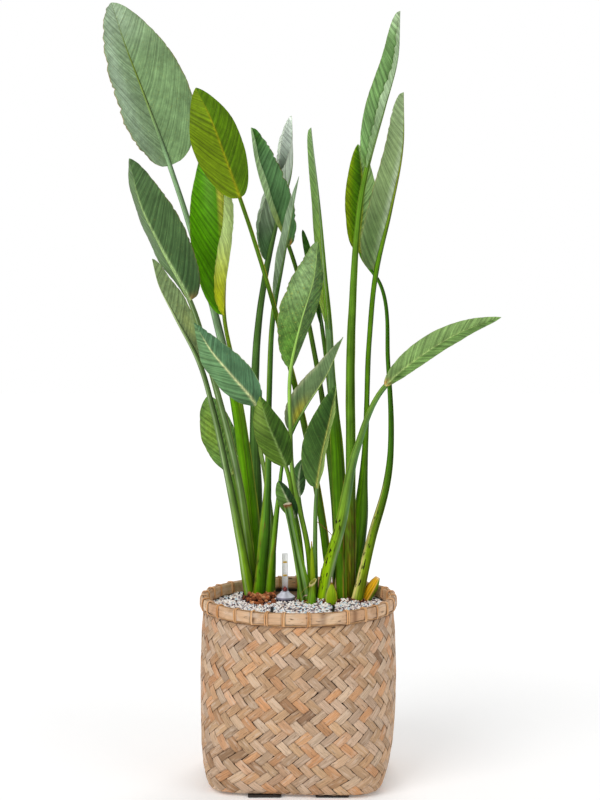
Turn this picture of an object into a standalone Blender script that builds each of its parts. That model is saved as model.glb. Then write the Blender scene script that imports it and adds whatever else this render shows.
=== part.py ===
"""A bird of paradise (strelitzia) in a woven bamboo basket, as separate solids at their real size.

The frame: metres, +Z up, the origin on the floor under the middle of the basket, the front towards -Y.
From the outside in: basket with its rim hoops and lashing, four feet, plastic liner, clay substrate,
gravel topping, a water gauge whose float slides in its tube, and twenty-two leaves with a few old
stubs and young shoots. A leaf's blade and stalk grew as one piece and are one solid.
"""

import math

import bmesh
import bpy
from mathutils import Matrix, Vector

CM = 0.01
MM = 0.001
GAP = 0.3 * MM
SIDES = 48

# Basket: a rounded square at the floor that opens into a circle at the rim.
BASKET_WALL = 3 * MM
BASKET_TURN = math.radians(-4)
BASKET_FLOOR = 0.0045
BASKET_EDGE = 0.3485
# (height, half width, squareness): squareness 2 is a circle, and 6 is nearly a square.
BASKET_OUTLINE = (
    (BASKET_FLOOR, 0.155, 6.0),
    (0.0075, 0.162, 6.0),
    (0.018, 0.1675, 5.4),
    (0.040, 0.174, 4.4),
    (0.075, 0.1805, 3.3),
    (0.120, 0.184, 2.5),
    (0.200, 0.186, 2.1),
    (0.285, 0.1835, 2.0),
    (0.324, 0.180, 2.0),
    (BASKET_EDGE, 0.180, 2.0),
)

FOOT_SIZE = (0.062, 0.050, BASKET_FLOOR - GAP)
FOOT_PLACE = (0.0625, 0.136)

RIM_TOP = 0.350
LASHING_THICK = 1.1 * MM
HOOP_BOTTOM = 0.3255
HOOP_TOP = RIM_TOP - LASHING_THICK - GAP
OUTER_HOOP = (0.1803, 0.1850)
INNER_HOOP = (0.1730, 0.1767)
LASHINGS = 32
LASHING_WIDTH = 5 * MM
LASHING_LEG = 20 * MM
# The lashings aren't quite evenly spaced: each is moved by up to this part of the spacing.
LASHING_DRIFT = 0.22

LINER_THICK = 2 * MM
# (height, outer radius)
LINER_OUTLINE = (
    (BASKET_FLOOR + BASKET_WALL + GAP, 0.126),
    (0.040, 0.150),
    (0.110, 0.166),
    (0.220, 0.1735),
    (0.325, 0.1755),
)

SUBSTRATE_TOP = 0.312
GRAVEL_TOP = 0.321
# The two heaps of substrate that the plant grows from: centre, half sizes at the gravel and at the
# top, and the height of the top.
HEAPS = {
    "left_heap": dict(centre=(-0.078, 0.089), half=(0.034, 0.053), top=(0.030, 0.045), height=0.334),
    "right_heap": dict(centre=(0.067, 0.081), half=(0.070, 0.043), top=(0.067, 0.041), height=0.328),
}
HEAP_SIDES = 28
HEAP_SQUARENESS = 2.5
HEAP_CLEARANCE = 0.5 * MM

GAUGE_PLACE = (-0.026, 0.072)
COLLAR_RADIUS = 18 * MM
COLLAR_FLANGE = 5 * MM
COLLAR_HEIGHT = 20 * MM
TUBE_RADIUS = 5.8 * MM
TUBE_WALL = 1 * MM
TUBE_TOP = 0.4165
PIPE_RADIUS = 8 * MM
PIPE_WALL = 1.5 * MM
PIPE_BOTTOM = 0.0142
PIPE_ABOVE_GRAVEL = 5 * MM
FLOAT_HEAD_RADIUS = 3.6 * MM
FLOAT_HEAD_HEIGHT = 9 * MM
FLOAT_ROD_RADIUS = 1 * MM
FLOAT_BULB_RADIUS = 5.2 * MM
FLOAT_BULB_HEIGHT = 40 * MM
GAUGE_SIDES = 16

RIB_THICK = 1.8 * MM
MARGIN_THICK = 1.0 * MM
STALK_DEPTH = 0.7
STALK_STEPS = 6
BLADE_STEPS = 8
TIP_WIDTH = 0.03
BASE_POWER = 0.55
# A blade's halves are folded no further than this at its base and its tip, in degrees.
END_FOLD = 125
FRONT = Vector((0, -1, 0))

# Each leaf, in centimetres and degrees. foot is its place and half width where it leaves the heap,
# stalk the points above that, and blade the points from where the blade starts to its tip. neck is the
# stalk's half width at the blade, which a lower taper reaches further down. half is the blade's half
# width left and right of the midrib, seen from the front, belly is where along the blade it is widest,
# and a lower tip makes its end blunter. fold is how far each half leans towards the front at the
# midrib, and curl how much further it has turned at its margin.
LEAVES = {
    "left_leaf_1": dict(
        foot=(-9.2, 7.3, 0.8), stalk=((-13.6, 4.2, 57.5), (-16.2, 3.0, 69.9)), neck=0.45,
        blade=((-18.5, 2.0, 78.4), (-23.6, 1.0, 88.5), (-26.4, 1.2, 94.2), (-27.5, 2.0, 98.6)),
        half=(3.0, 3.5), belly=0.5, tip=0.6, fold=(-150, 10), curl=(0, 10),
    ),
    "left_leaf_2": dict(
        foot=(-8.6, 9.0, 0.8), stalk=((-11.5, 4.6, 56.6), (-16.2, 0.6, 76.7)), neck=0.45,
        blade=((-20.2, -2.0, 90.9), (-25.3, -4.0, 100.8), (-29.2, -5.0, 109.2), (-31.2, -4.0, 117.3)),
        half=(4.8, 5.6), belly=0.5, tip=0.55, fold=(-62, 5), curl=(-10, -12),
    ),
    "left_leaf_3": dict(
        foot=(-8.8, 10.8, 0.9), stalk=((-11.0, 12.6, 62.9), (-16.6, 16.0, 88.4)), neck=0.5, taper=2.0,
        blade=((-24.9, 16.0, 116.0), (-30.4, 15.0, 131.4), (-33.4, 15.0, 139.4), (-36.0, 16.5, 147.2)),
        half=(7.3, 8.8), belly=0.38, tip=0.6, fold=(45, 0), curl=(0, -12),
    ),
    "left_leaf_4": dict(
        foot=(-7.1, 10.2, 0.9), stalk=((-9.2, 9.2, 56.0), (-12.0, 7.4, 76.0)), neck=0.4,
        blade=((-14.1, 5.0, 87.7), (-13.7, 4.0, 100.0), (-14.5, 4.2, 112.0), (-16.9, 6.5, 121.0)),
        half=(6.8, 5.4), belly=0.5, tip=0.7, fold=(0, -15), curl=(-8, 200),
    ),
    "left_leaf_5": dict(
        foot=(-7.6, 12.0, 1.1), stalk=((-8.5, 13.0, 62.0), (-7.9, 13.0, 84.0)), neck=0.6, taper=1.4,
        blade=((-5.9, 13.0, 97.6), (-4.2, 13.0, 105.0), (-1.9, 14.0, 115.5), (-1.0, 15.0, 125.6)),
        half=(5.4, 4.6), belly=0.36, tip=0.75, fold=(8, 140), curl=(-10, 20),
    ),
    "left_leaf_6": dict(
        foot=(-7.7, 6.1, 0.95), stalk=((-5.9, 5.8, 55.0), (-5.6, 5.6, 72.0)), neck=0.5, taper=0.6,
        blade=((-4.4, 5.4, 90.6), (-3.1, 4.6, 97.0), (-1.2, 4.4, 107.0), (0.1, 5.0, 114.0)),
        half=(3.0, 2.8), belly=0.4, tip=0.9, fold=(60, -110), curl=(0, 0),
    ),
    "left_leaf_7": dict(
        foot=(-6.0, 7.2, 0.9), stalk=((-3.9, 5.8, 52.0), (-2.8, 4.6, 60.5)), neck=0.3, taper=0.75,
        blade=((-1.2, 3.0, 65.6), (1.6, 0.8, 71.0), (5.4, -0.4, 77.0), (8.4, 0.0, 84.0)),
        half=(4.1, 2.8), belly=0.36, tip=0.8, fold=(12, -125), curl=(8, 0),
    ),
    "left_leaf_8": dict(
        foot=(-9.7, 12.2, 0.55), stalk=((-10.8, 14.4, 44.0), (-11.9, 15.0, 51.0)), neck=0.35,
        blade=((-13.0, 15.1, 55.6), (-14.8, 15.0, 61.4), (-16.5, 15.4, 66.8), (-17.7, 16.6, 71.2)),
        half=(3.6, 3.2), belly=0.52, tip=0.6, fold=(-8, -8), curl=(0, 0),
    ),
    "left_leaf_9": dict(
        foot=(-5.6, 8.8, 0.6), neck=0.35,
        stalk=((-5.2, 8.0, 46.0), (-6.3, 7.9, 56.0), (-7.3, 4.8, 62.5), (-7.3, 1.0, 67.0)),
        blade=((-7.9, -2.6, 71.2), (-12.4, -4.6, 77.2), (-16.0, -4.6, 81.5), (-19.4, -3.0, 86.9)),
        half=(3.5, 3.7), belly=0.36, tip=0.9, fold=(-12, 5), curl=(-10, 0),
    ),
    "middle_leaf_1": dict(
        foot=(1.2, 7.6, 0.55), stalk=((0.0, 6.0, 46.0), (-1.0, 4.6, 51.5), (-1.5, 2.5, 55.6)), neck=0.4,
        blade=((-2.3, -0.6, 59.4), (-4.3, -3.2, 64.6), (-6.1, -4.8, 69.2), (-7.1, -5.2, 73.4)),
        half=(3.4, 3.0), belly=0.42, tip=0.8, fold=(-10, 0), curl=(-10, -10),
    ),
    "middle_leaf_2": dict(
        foot=(2.6, 7.3, 0.55), neck=0.38,
        stalk=((1.6, 6.9, 44.0), (0.4, 6.1, 49.5), (-1.1, 3.4, 57.5), (-1.5, -0.6, 66.5)),
        blade=((-1.4, -4.0, 78.4), (0.6, -5.0, 87.4), (2.9, -5.0, 95.4), (3.6, -2.6, 102.0)),
        half=(4.7, 3.8), belly=0.45, tip=0.6, fold=(-8, -58), curl=(-10, 0),
    ),
    "middle_leaf_3": dict(
        foot=(3.2, 8.5, 0.4), stalk=((1.9, 8.8, 43.0), (0.7, 9.2, 49.0)), neck=0.25,
        blade=((0.2, 9.2, 52.6), (0.1, 9.2, 56.0), (0.8, 9.6, 60.0), (2.0, 10.4, 64.0)),
        half=(1.7, 1.6), belly=0.4, tip=0.8, fold=(-5, 10), curl=(0, 0),
    ),
    "middle_leaf_4": dict(
        foot=(3.35, 6.3, 0.5), stalk=((3.2, 4.0, 44.0), (3.3, 1.5, 52.0)), neck=0.35,
        blade=((3.5, 0.0, 55.3), (4.5, -1.6, 62.0), (6.0, -2.6, 69.0), (7.1, -2.0, 75.2)),
        half=(3.9, 3.3), belly=0.42, tip=0.8, fold=(-5, 78), curl=(-8, 10),
    ),
    "middle_leaf_5": dict(
        foot=(0.1, 6.7, 0.4), stalk=((0.2, 5.6, 42.0), (-0.2, 4.4, 46.5)), neck=0.3,
        blade=((-0.6, 3.7, 49.0), (-1.6, 2.8, 51.6), (-2.8, 2.4, 54.2), (-3.8, 2.6, 56.4)),
        half=(1.9, 1.6), belly=0.5, tip=0.6, fold=(5, 15), curl=(10, 20),
    ),
    "right_leaf_1": dict(
        foot=(4.6, 5.3, 1.0), stalk=((6.0, 4.6, 40.0), (7.8, 2.4, 47.0), (11.0, -3.0, 63.4)), neck=0.5,
        blade=((16.0, -8.0, 75.5), (22.0, -9.6, 80.9), (29.5, -10.4, 85.6), (37.1, -10.0, 88.4)),
        half=(2.4, 2.0), belly=0.4, tip=0.9, fold=(25, 60), curl=(-15, -20),
    ),
    "right_leaf_2": dict(
        foot=(6.6, 7.0, 0.8), stalk=((4.0, 7.6, 51.8), (-2.0, 2.0, 80.0)), neck=0.38,
        blade=((-10.8, -3.0, 110.0), (-13.6, -5.0, 117.9), (-16.0, -5.4, 124.4), (-18.8, -4.4, 130.2)),
        half=(5.3, 4.1), belly=0.5, tip=0.6, fold=(-12, -5), curl=(0, -10),
    ),
    "right_leaf_3": dict(
        foot=(8.3, 9.8, 0.8), stalk=((6.4, 10.6, 57.3), (3.2, 10.3, 79.5)), neck=0.4,
        blade=((-1.8, 9.3, 100.6), (-5.4, 8.3, 109.2), (-8.0, 7.9, 117.2), (-9.0, 8.2, 123.2)),
        half=(3.6, 4.4), belly=0.45, tip=0.55, fold=(30, 0), curl=(160, -10),
    ),
    "right_leaf_4": dict(
        foot=(8.6, 5.8, 1.1), stalk=((7.4, 6.0, 62.0), (6.3, 6.0, 76.0)), neck=0.75,
        blade=((5.8, 6.0, 85.0), (5.0, 6.0, 95.0), (4.0, 6.2, 108.0), (2.4, 8.0, 123.2)),
        half=(3.2, 3.0), belly=0.4, tip=0.45, fold=(62, 95), curl=(0, 0),
    ),
    "right_leaf_5": dict(
        foot=(6.2, 10.6, 0.7), stalk=((7.6, 13.0, 50.0), (5.9, 12.4, 74.0)), neck=0.4,
        blade=((4.6, 11.8, 84.6), (3.5, 11.5, 92.0), (2.2, 11.3, 98.5), (0.8, 11.3, 103.8)),
        half=(1.4, 1.3), belly=0.35, tip=0.9, fold=(60, 100), curl=(0, 0),
    ),
    "right_leaf_6": dict(
        foot=(10.4, 7.8, 1.1), stalk=((10.0, 5.4, 60.0), (10.1, 4.6, 86.0)), neck=0.5,
        blade=((12.9, 4.0, 115.6), (15.8, 3.6, 126.8), (17.9, 4.2, 136.0), (18.4, 6.4, 144.9)),
        half=(3.6, 3.2), belly=0.4, tip=0.5, fold=(12, 150), curl=(-10, 15),
    ),
    "right_leaf_7": dict(
        foot=(11.4, 9.4, 1.1), stalk=((13.1, 10.4, 63.3), (13.6, 9.8, 82.0)), neck=0.5, taper=0.55,
        blade=((14.9, 9.2, 95.9), (17.6, 8.4, 107.5), (19.9, 8.2, 120.0), (20.0, 10.0, 129.9)),
        half=(3.9, 3.4), belly=0.36, tip=0.4, fold=(10, -118), curl=(-8, 0),
    ),
    "right_leaf_8": dict(
        foot=(11.2, 5.5, 1.2), neck=0.35, taper=0.65,
        stalk=((14.0, 7.4, 44.0), (17.2, 10.4, 55.0), (17.5, 15.6, 78.0), (15.0, 17.4, 92.5)),
        blade=((11.6, 17.6, 99.8), (12.4, 17.5, 107.0), (12.4, 17.6, 113.5), (11.6, 18.4, 120.2)),
        half=(3.4, 3.2), belly=0.48, tip=0.7, fold=(0, 25), curl=(0, 20),
    ),
}

# Old cut stalks, and shoots that haven't opened. foot and top are a place and a half width, belly is
# the half width a third of the way up, and bore is how deep the cut end is hollow, in centimetres.
STUBS = {
    "hollow_stub": dict(foot=(2.4, 4.2, 0.85), belly=0.8, top=(2.7, 3.9, 36.8, 0.62), bore=1.6),
    "old_cut_stalk": dict(foot=(1.7, 5.8, 1.0), belly=1.05, top=(-2.1, 1.9, 52.0, 0.7), bore=1.0),
    "cut_sheath": dict(foot=(12.9, 6.8, 0.9), belly=1.0, top=(15.2, 6.2, 36.7, 0.75), bore=0.8),
    "flower_bud": dict(foot=(6.3, 4.0, 0.8), belly=1.1, top=(6.4, 3.8, 37.4, 0.1), bore=0),
    "young_shoot": dict(foot=(2.95, 5.15, 0.3), belly=0.3, top=(2.35, 4.4, 44.2, 0.1), bore=0),
    "dry_bract": dict(foot=(4.2, 7.2, 0.45), belly=0.4, top=(4.5, 7.2, 38.6, 0.1), bore=0),
}
STUB_SIDES = 10
BELLY_SHARE = 0.35
BORE_SHARE = 0.6

# Colour, roughness and metallic value.
FINISHES = {
    "bamboo": ((0.62, 0.45, 0.30), 0.7, 0),
    "rattan": ((0.60, 0.42, 0.26), 0.6, 0),
    "black_plastic": ((0.03, 0.03, 0.03), 0.5, 0),
    "clay": ((0.30, 0.14, 0.07), 0.9, 0),
    "gravel": ((0.62, 0.62, 0.60), 0.9, 0),
    "clear_plastic": ((0.85, 0.86, 0.90), 0.1, 0),
    "red_plastic": ((0.55, 0.06, 0.03), 0.4, 0),
    "leaf": ((0.10, 0.28, 0.06), 0.4, 0),
    "stalk": ((0.16, 0.34, 0.05), 0.45, 0),
}


def material(name):
    """The named Principled material, made on its first use."""
    made = bpy.data.materials.get(name)
    if made:
        return made
    made = bpy.data.materials.new(name)
    made.use_nodes = True
    colour, roughness, metallic = FINISHES[name]
    shader = made.node_tree.nodes["Principled BSDF"]
    shader.inputs["Base Color"].default_value = (*colour, 1)
    shader.inputs["Roughness"].default_value = roughness
    shader.inputs["Metallic"].default_value = metallic
    return made


def add_object(name, bm, finish, sharp=40):
    """bm as a new object with its faces pointing out, smooth except at edges over sharp degrees."""
    bmesh.ops.recalc_face_normals(bm, faces=bm.faces)
    mesh = bpy.data.meshes.new(name)
    bm.to_mesh(mesh)
    bm.free()
    mesh.shade_smooth()
    mesh.set_sharp_from_angle(angle=math.radians(sharp))
    made = bpy.data.objects.new(name, mesh)
    made.data.materials.append(material(finish))
    bpy.context.scene.collection.objects.link(made)
    return made


def add_guide(name, bm, finish):
    """bm as a hidden object that a Boolean uses."""
    guide = add_object(name, bm, finish)
    guide.hide_render = True
    guide.display_type = "WIRE"
    return guide


def combine(target, guide, operation):
    """Joins the guide to the target, or cuts it out of it."""
    step = target.modifiers.new(guide.name, "BOOLEAN")
    step.object = guide
    step.operation = operation


def loft(rings):
    """A closed body through rings of equally many points, with its first and last ring filled."""
    bm = bmesh.new()
    rows = [[bm.verts.new(point) for point in ring] for ring in rings]
    count = len(rings[0])
    for low, high in zip(rows, rows[1:]):
        for i in range(count):
            j = (i + 1) % count
            bm.faces.new((low[i], low[j], high[j], high[i]))
    bm.faces.new(rows[0])
    bm.faces.new(rows[-1])
    return bm


def turned(outline, sides=SIDES, place=(0, 0)):
    """A body of revolution. outline holds (radius, height) and closes on itself or on the axis."""
    bm = bmesh.new()
    verts = [bm.verts.new((radius, 0, height)) for radius, height in outline]
    edges = [bm.edges.new((a, b)) for a, b in zip(verts, verts[1:])]
    if outline[0][0] > 0:
        edges.append(bm.edges.new((verts[-1], verts[0])))
    bmesh.ops.spin(
        bm, geom=verts + edges, cent=(0, 0, 0), axis=(0, 0, 1), angle=math.tau, steps=sides, use_merge=True
    )
    bmesh.ops.remove_doubles(bm, verts=bm.verts, dist=0.01 * MM)
    bmesh.ops.translate(bm, verts=bm.verts, vec=(*place, 0))
    return bm


def mix(a, b, t):
    return a + (b - a) * t


def squared_radius(angle, half_x, half_y, squareness):
    """The radius, at angle, of an ellipse that a higher squareness fills out towards its box."""
    x, y = abs(math.cos(angle)) / half_x, abs(math.sin(angle)) / half_y
    return (x**squareness + y**squareness) ** (-1 / squareness)


# ---------------------------------------------------------------- basket


def basket_ring(height, half, squareness):
    ring = []
    for k in range(SIDES):
        angle = math.tau * k / SIDES
        radius = squared_radius(angle - BASKET_TURN, half, half, squareness)
        ring.append((radius * math.cos(angle), radius * math.sin(angle), height))
    return ring


def make_basket():
    """The woven shell, open at the top."""
    floor = BASKET_FLOOR + BASKET_WALL
    outer = [basket_ring(*level) for level in BASKET_OUTLINE]
    inner = [
        basket_ring(height, half - BASKET_WALL, squareness)
        for height, half, squareness in BASKET_OUTLINE[2:]
    ]
    inner_floor = basket_ring(floor, BASKET_OUTLINE[1][1] - 2 * BASKET_WALL, BASKET_OUTLINE[1][2])
    add_object("basket", loft([*outer, *reversed(inner), inner_floor]), "bamboo")


def make_feet():
    """Four low pads under the basket's floor."""
    for depth_name, depth in (("front", -1), ("back", 1)):
        for side_name, side in (("left", -1), ("right", 1)):
            bm = bmesh.new()
            bmesh.ops.create_cube(bm, size=1, matrix=Matrix.Diagonal((*FOOT_SIZE, 1)))
            foot = add_object(f"foot_{depth_name}_{side_name}", bm, "black_plastic")
            foot.location = (side * FOOT_PLACE[0], depth * FOOT_PLACE[1], FOOT_SIZE[2] / 2)


def make_hoops():
    """The two split-bamboo hoops that clamp the weave's upper edge between them."""
    edge = 0.8 * MM
    for name, (inside, outside) in (("rim_outer_hoop", OUTER_HOOP), ("rim_inner_hoop", INNER_HOOP)):
        outline = (
            (inside, HOOP_BOTTOM),
            (outside - edge, HOOP_BOTTOM),
            (outside, HOOP_BOTTOM + edge),
            (outside, HOOP_TOP - edge),
            (outside - edge, HOOP_TOP),
            (inside, HOOP_TOP),
        )
        add_object(name, turned(outline), "bamboo")


def lashing_loops():
    """The loops over the hoops, each a cap with one leg down the outer hoop and one down the inner."""
    bm = bmesh.new()
    flat = math.cos(math.pi / SIDES)
    face_out, face_in = OUTER_HOOP[1] + GAP, INNER_HOOP[0] * flat - GAP
    outside, inside = face_out + LASHING_THICK, face_in - LASHING_THICK
    under, low = HOOP_TOP + GAP, HOOP_TOP - LASHING_LEG
    outline = (
        (outside, RIM_TOP), (outside, low), (face_out, low), (face_out, under),
        (face_in, under), (face_in, low), (inside, low), (inside, RIM_TOP),
    )
    for k in range(LASHINGS):
        angle = math.tau * (k + LASHING_DRIFT * math.sin(2.4 * k)) / LASHINGS
        out = Vector((math.cos(angle), math.sin(angle), 0))
        along = Vector((-out.y, out.x, 0)) * LASHING_WIDTH / 2
        ends = []
        for side in (-1, 1):
            corners = [out * radius + along * side + Vector((0, 0, height)) for radius, height in outline]
            ends.append([bm.verts.new(corner) for corner in corners])
        for i in range(len(outline)):
            j = (i + 1) % len(outline)
            bm.faces.new((ends[0][i], ends[0][j], ends[1][j], ends[1][i]))
        for end in ends:
            bm.faces.new(end)
    return bm


def make_lashing():
    """The rattan strand that runs round on top of the weave's edge and loops over both hoops."""
    inside, outside = INNER_HOOP[1] - GAP, OUTER_HOOP[0] + GAP
    low, high = HOOP_TOP + 1.4 * GAP, RIM_TOP - GAP
    strand = add_object(
        "rim_lashing", turned(((inside, low), (outside, low), (outside, high), (inside, high))), "rattan"
    )
    combine(strand, add_guide("lashing_loops", lashing_loops(), "rattan"), "UNION")


# ---------------------------------------------------------------- filling


def make_liner():
    """The waterproof pot that stands in the basket."""
    outer = [(radius, height) for height, radius in LINER_OUTLINE]
    inner = [(radius - LINER_THICK, height) for radius, height in outer[1:]]
    floor = LINER_OUTLINE[0][0] + LINER_THICK
    outline = [(0, outer[0][1]), *outer, *reversed(inner), (outer[0][0] - LINER_THICK, floor), (0, floor)]
    add_object("liner", turned(outline), "black_plastic")


def filling_radius(height):
    """The radius that fits inside the liner at a height."""
    for (low, narrow), (high, wide) in zip(LINER_OUTLINE, LINER_OUTLINE[1:]):
        if height <= high:
            return mix(narrow, wide, (height - low) / (high - low)) - LINER_THICK - GAP
    return LINER_OUTLINE[-1][1] - LINER_THICK - GAP


def heap_ring(heap, half, height, clearance=0.0):
    ring = []
    for k in range(HEAP_SIDES):
        angle = math.tau * k / HEAP_SIDES
        radius = squared_radius(angle, half[0] + clearance, half[1] + clearance, HEAP_SQUARENESS)
        place = (heap["centre"][0] + radius * math.cos(angle), heap["centre"][1] + radius * math.sin(angle))
        ring.append((*place, height))
    return ring


def make_substrate():
    """The clay granules that fill the liner, with a heap under each half of the plant."""
    floor = LINER_OUTLINE[0][0] + LINER_THICK + GAP
    levels = [floor, *(height for height, radius in LINER_OUTLINE[1:-1]), SUBSTRATE_TOP]
    bottom_radius = LINER_OUTLINE[0][1] - LINER_THICK - 2 * GAP
    radii = [bottom_radius, *(filling_radius(height) for height in levels[1:])]
    outline = [(0, floor), *zip(radii, levels), (0, SUBSTRATE_TOP)]
    substrate = add_object("substrate", turned(outline), "clay")
    for name, heap in HEAPS.items():
        rings = (
            heap_ring(heap, heap["half"], SUBSTRATE_TOP - 4 * MM),
            heap_ring(heap, heap["half"], GRAVEL_TOP),
            heap_ring(heap, heap["top"], heap["height"]),
        )
        combine(substrate, add_guide(name, loft(rings), "clay"), "UNION")
    combine(substrate, gauge_hole("substrate_hole", PIPE_BOTTOM - 1 * MM), "DIFFERENCE")


def gauge_hole(name, bottom):
    """A guide for the hole that the gauge's pipe goes down."""
    radius = PIPE_RADIUS + GAP
    outline = ((0, bottom), (radius, bottom), (radius, GRAVEL_TOP + 1 * CM), (0, GRAVEL_TOP + 1 * CM))
    return add_guide(name, turned(outline, GAUGE_SIDES, GAUGE_PLACE), "clay")


def make_gravel():
    """The layer of small gravel between the heaps and the liner."""
    radius = filling_radius(SUBSTRATE_TOP)
    low = SUBSTRATE_TOP + GAP
    outline = ((0, low), (radius, low), (radius, GRAVEL_TOP), (0, GRAVEL_TOP))
    gravel = add_object("gravel", turned(outline), "gravel")
    for name, heap in HEAPS.items():
        levels = (low - 1 * MM, GRAVEL_TOP + 1 * MM)
        rings = [heap_ring(heap, heap["half"], height, HEAP_CLEARANCE) for height in levels]
        combine(gravel, add_guide(f"{name}_opening", loft(rings), "gravel"), "DIFFERENCE")
    combine(gravel, gauge_hole("gravel_hole", low - 1 * MM), "DIFFERENCE")


# ---------------------------------------------------------------- water gauge


def make_gauge_pipe():
    """The pipe that reaches down to the water, closed at its foot."""
    top = GRAVEL_TOP + PIPE_ABOVE_GRAVEL
    inner = PIPE_RADIUS - PIPE_WALL
    foot = PIPE_BOTTOM + PIPE_WALL
    outline = (
        (0, PIPE_BOTTOM),
        (PIPE_RADIUS, PIPE_BOTTOM),
        (PIPE_RADIUS, top),
        (inner, top),
        (inner, foot),
        (0, foot),
    )
    add_object("gauge_pipe", turned(outline, GAUGE_SIDES, GAUGE_PLACE), "black_plastic")


def make_gauge_collar():
    """The cone that stands on the gravel, round the pipe's end."""
    low = GRAVEL_TOP + GAP
    shelf = GRAVEL_TOP + PIPE_ABOVE_GRAVEL + GAP
    socket, bore = PIPE_RADIUS + GAP, TUBE_RADIUS - TUBE_WALL
    outline = (
        (socket, low),
        (COLLAR_RADIUS, low),
        (COLLAR_RADIUS, low + COLLAR_FLANGE),
        (TUBE_RADIUS + 1 * MM, low + COLLAR_HEIGHT),
        (bore, low + COLLAR_HEIGHT),
        (bore, shelf),
        (socket, shelf),
    )
    add_object("gauge_collar", turned(outline, GAUGE_SIDES * 2, GAUGE_PLACE), "clear_plastic")


def make_gauge_tube():
    """The clear tube that the float's head shows in, closed at its top."""
    low = GRAVEL_TOP + COLLAR_HEIGHT + 2 * GAP
    bore = TUBE_RADIUS - TUBE_WALL
    ceiling = TUBE_TOP - TUBE_WALL
    outline = (
        (0, ceiling), (bore, ceiling), (bore, low), (TUBE_RADIUS, low),
        (TUBE_RADIUS, ceiling), (bore, TUBE_TOP), (0, TUBE_TOP),
    )
    add_object("gauge_tube", turned(outline, GAUGE_SIDES, GAUGE_PLACE), "clear_plastic")


def make_gauge_float():
    """The float: a bulb in the pipe, a thin rod, and the red head in the tube."""
    low = PIPE_BOTTOM + PIPE_WALL + GAP
    bulb_top = low + FLOAT_BULB_HEIGHT
    head_low = GRAVEL_TOP + COLLAR_HEIGHT + 2 * GAP
    head_top = head_low + FLOAT_HEAD_HEIGHT
    outline = (
        (0, low),
        (FLOAT_BULB_RADIUS, low),
        (FLOAT_BULB_RADIUS, bulb_top),
        (FLOAT_ROD_RADIUS, bulb_top),
        (FLOAT_ROD_RADIUS, head_low),
        (FLOAT_HEAD_RADIUS, head_low),
        (FLOAT_HEAD_RADIUS, head_top),
        (0, head_top),
    )
    add_object("gauge_float", turned(outline, GAUGE_SIDES, GAUGE_PLACE), "red_plastic")


# ---------------------------------------------------------------- plant


def smooth_curve(points):
    """How far along its chords each point lies, and a function from such a distance to its place."""
    knots = [0.0]
    for a, b in zip(points, points[1:]):
        knots.append(knots[-1] + (b - a).length)
    slopes = [(b - a) / (v - u) for a, b, u, v in zip(points, points[1:], knots, knots[1:])]
    tangents = [slopes[0]]
    for before, after, u, v, w in zip(slopes, slopes[1:], knots, knots[1:], knots[2:]):
        tangents.append((before * (w - v) + after * (v - u)) / (w - u))
    tangents.append(slopes[-1])

    def place(distance):
        i = max(k for k in range(len(slopes)) if k == 0 or knots[k] <= distance)
        length = knots[i + 1] - knots[i]
        t = (distance - knots[i]) / length
        start = points[i] * (1 + 2 * t) * (1 - t) ** 2 + tangents[i] * length * t * (1 - t) ** 2
        return start + points[i + 1] * t**2 * (3 - 2 * t) + tangents[i + 1] * length * t**2 * (t - 1)

    return knots, place


def across(place, distance):
    """The directions to the right of the leaf and out of its face, seen from the front."""
    step = 2 * MM
    along = (place(distance + step) - place(distance - step)).normalized()
    side = along.cross(FRONT).normalized()
    return side, side.cross(along)


def stalk_ring(centre, side, face, half, count):
    """An oval ring round a stalk that starts right of the midrib and goes round by the front."""
    ring = []
    for k in range(count):
        angle = math.tau * (k + 0.5) / count
        ring.append(centre + side * half * math.cos(angle) + face * half * STALK_DEPTH * math.sin(angle))
    return ring


def blade_half(side, face, half, fold, curl, steps):
    """Places and face directions from the midrib to one margin. side points towards that margin."""
    directions = []
    for k in range(steps):
        angle = math.radians(fold + curl * (k + 0.5) / steps)
        outward = side * math.cos(angle) + face * math.sin(angle)
        directions.append((outward, face * math.cos(angle) - side * math.sin(angle)))
    place = Vector((0, 0, 0))
    made = []
    for k, (outward, normal) in enumerate(directions):
        place = place + outward * half / steps
        following = directions[min(k + 1, steps - 1)][1]
        made.append((place, (normal + following).normalized()))
    return directions[0][1], made


def blade_ring(centre, side, face, leaf, width, steps, most_fold):
    """A thin ring round the blade: along its face from right to left, and back along its other face."""
    left_half, right_half = (half * CM * width for half in leaf["half"])
    left_fold, right_fold = (max(-most_fold, min(most_fold, fold)) for fold in leaf["fold"])
    right_start, right = blade_half(side, face, right_half, right_fold, leaf["curl"][1], steps)
    left_start, left = blade_half(-side, face, left_half, left_fold, leaf["curl"][0], steps)
    rib = (Vector((0, 0, 0)), (right_start + left_start).normalized())
    row = [*reversed(right), rib, *left]
    thick = [mix(RIB_THICK, MARGIN_THICK, abs(k - steps) / steps) / 2 for k in range(len(row))]
    upper = [centre + place + normal * half for (place, normal), half in zip(row, thick)]
    lower = [centre + place - normal * half for (place, normal), half in zip(row, thick)]
    return [*upper, *reversed(lower)]


def blade_width(t, belly, tip):
    """The blade's width at t, from 0 at its base to 1 at its tip, as a part of its full width."""
    if t < belly:
        return math.sin(math.pi / 2 * t / belly) ** BASE_POWER
    return max(TIP_WIDTH, math.cos(math.pi / 2 * (t - belly) / (1 - belly)) ** tip)


def crown_height(name):
    heap = HEAPS["left_heap" if name.startswith("left") else "right_heap"]
    return heap["height"] + GAP


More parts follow.
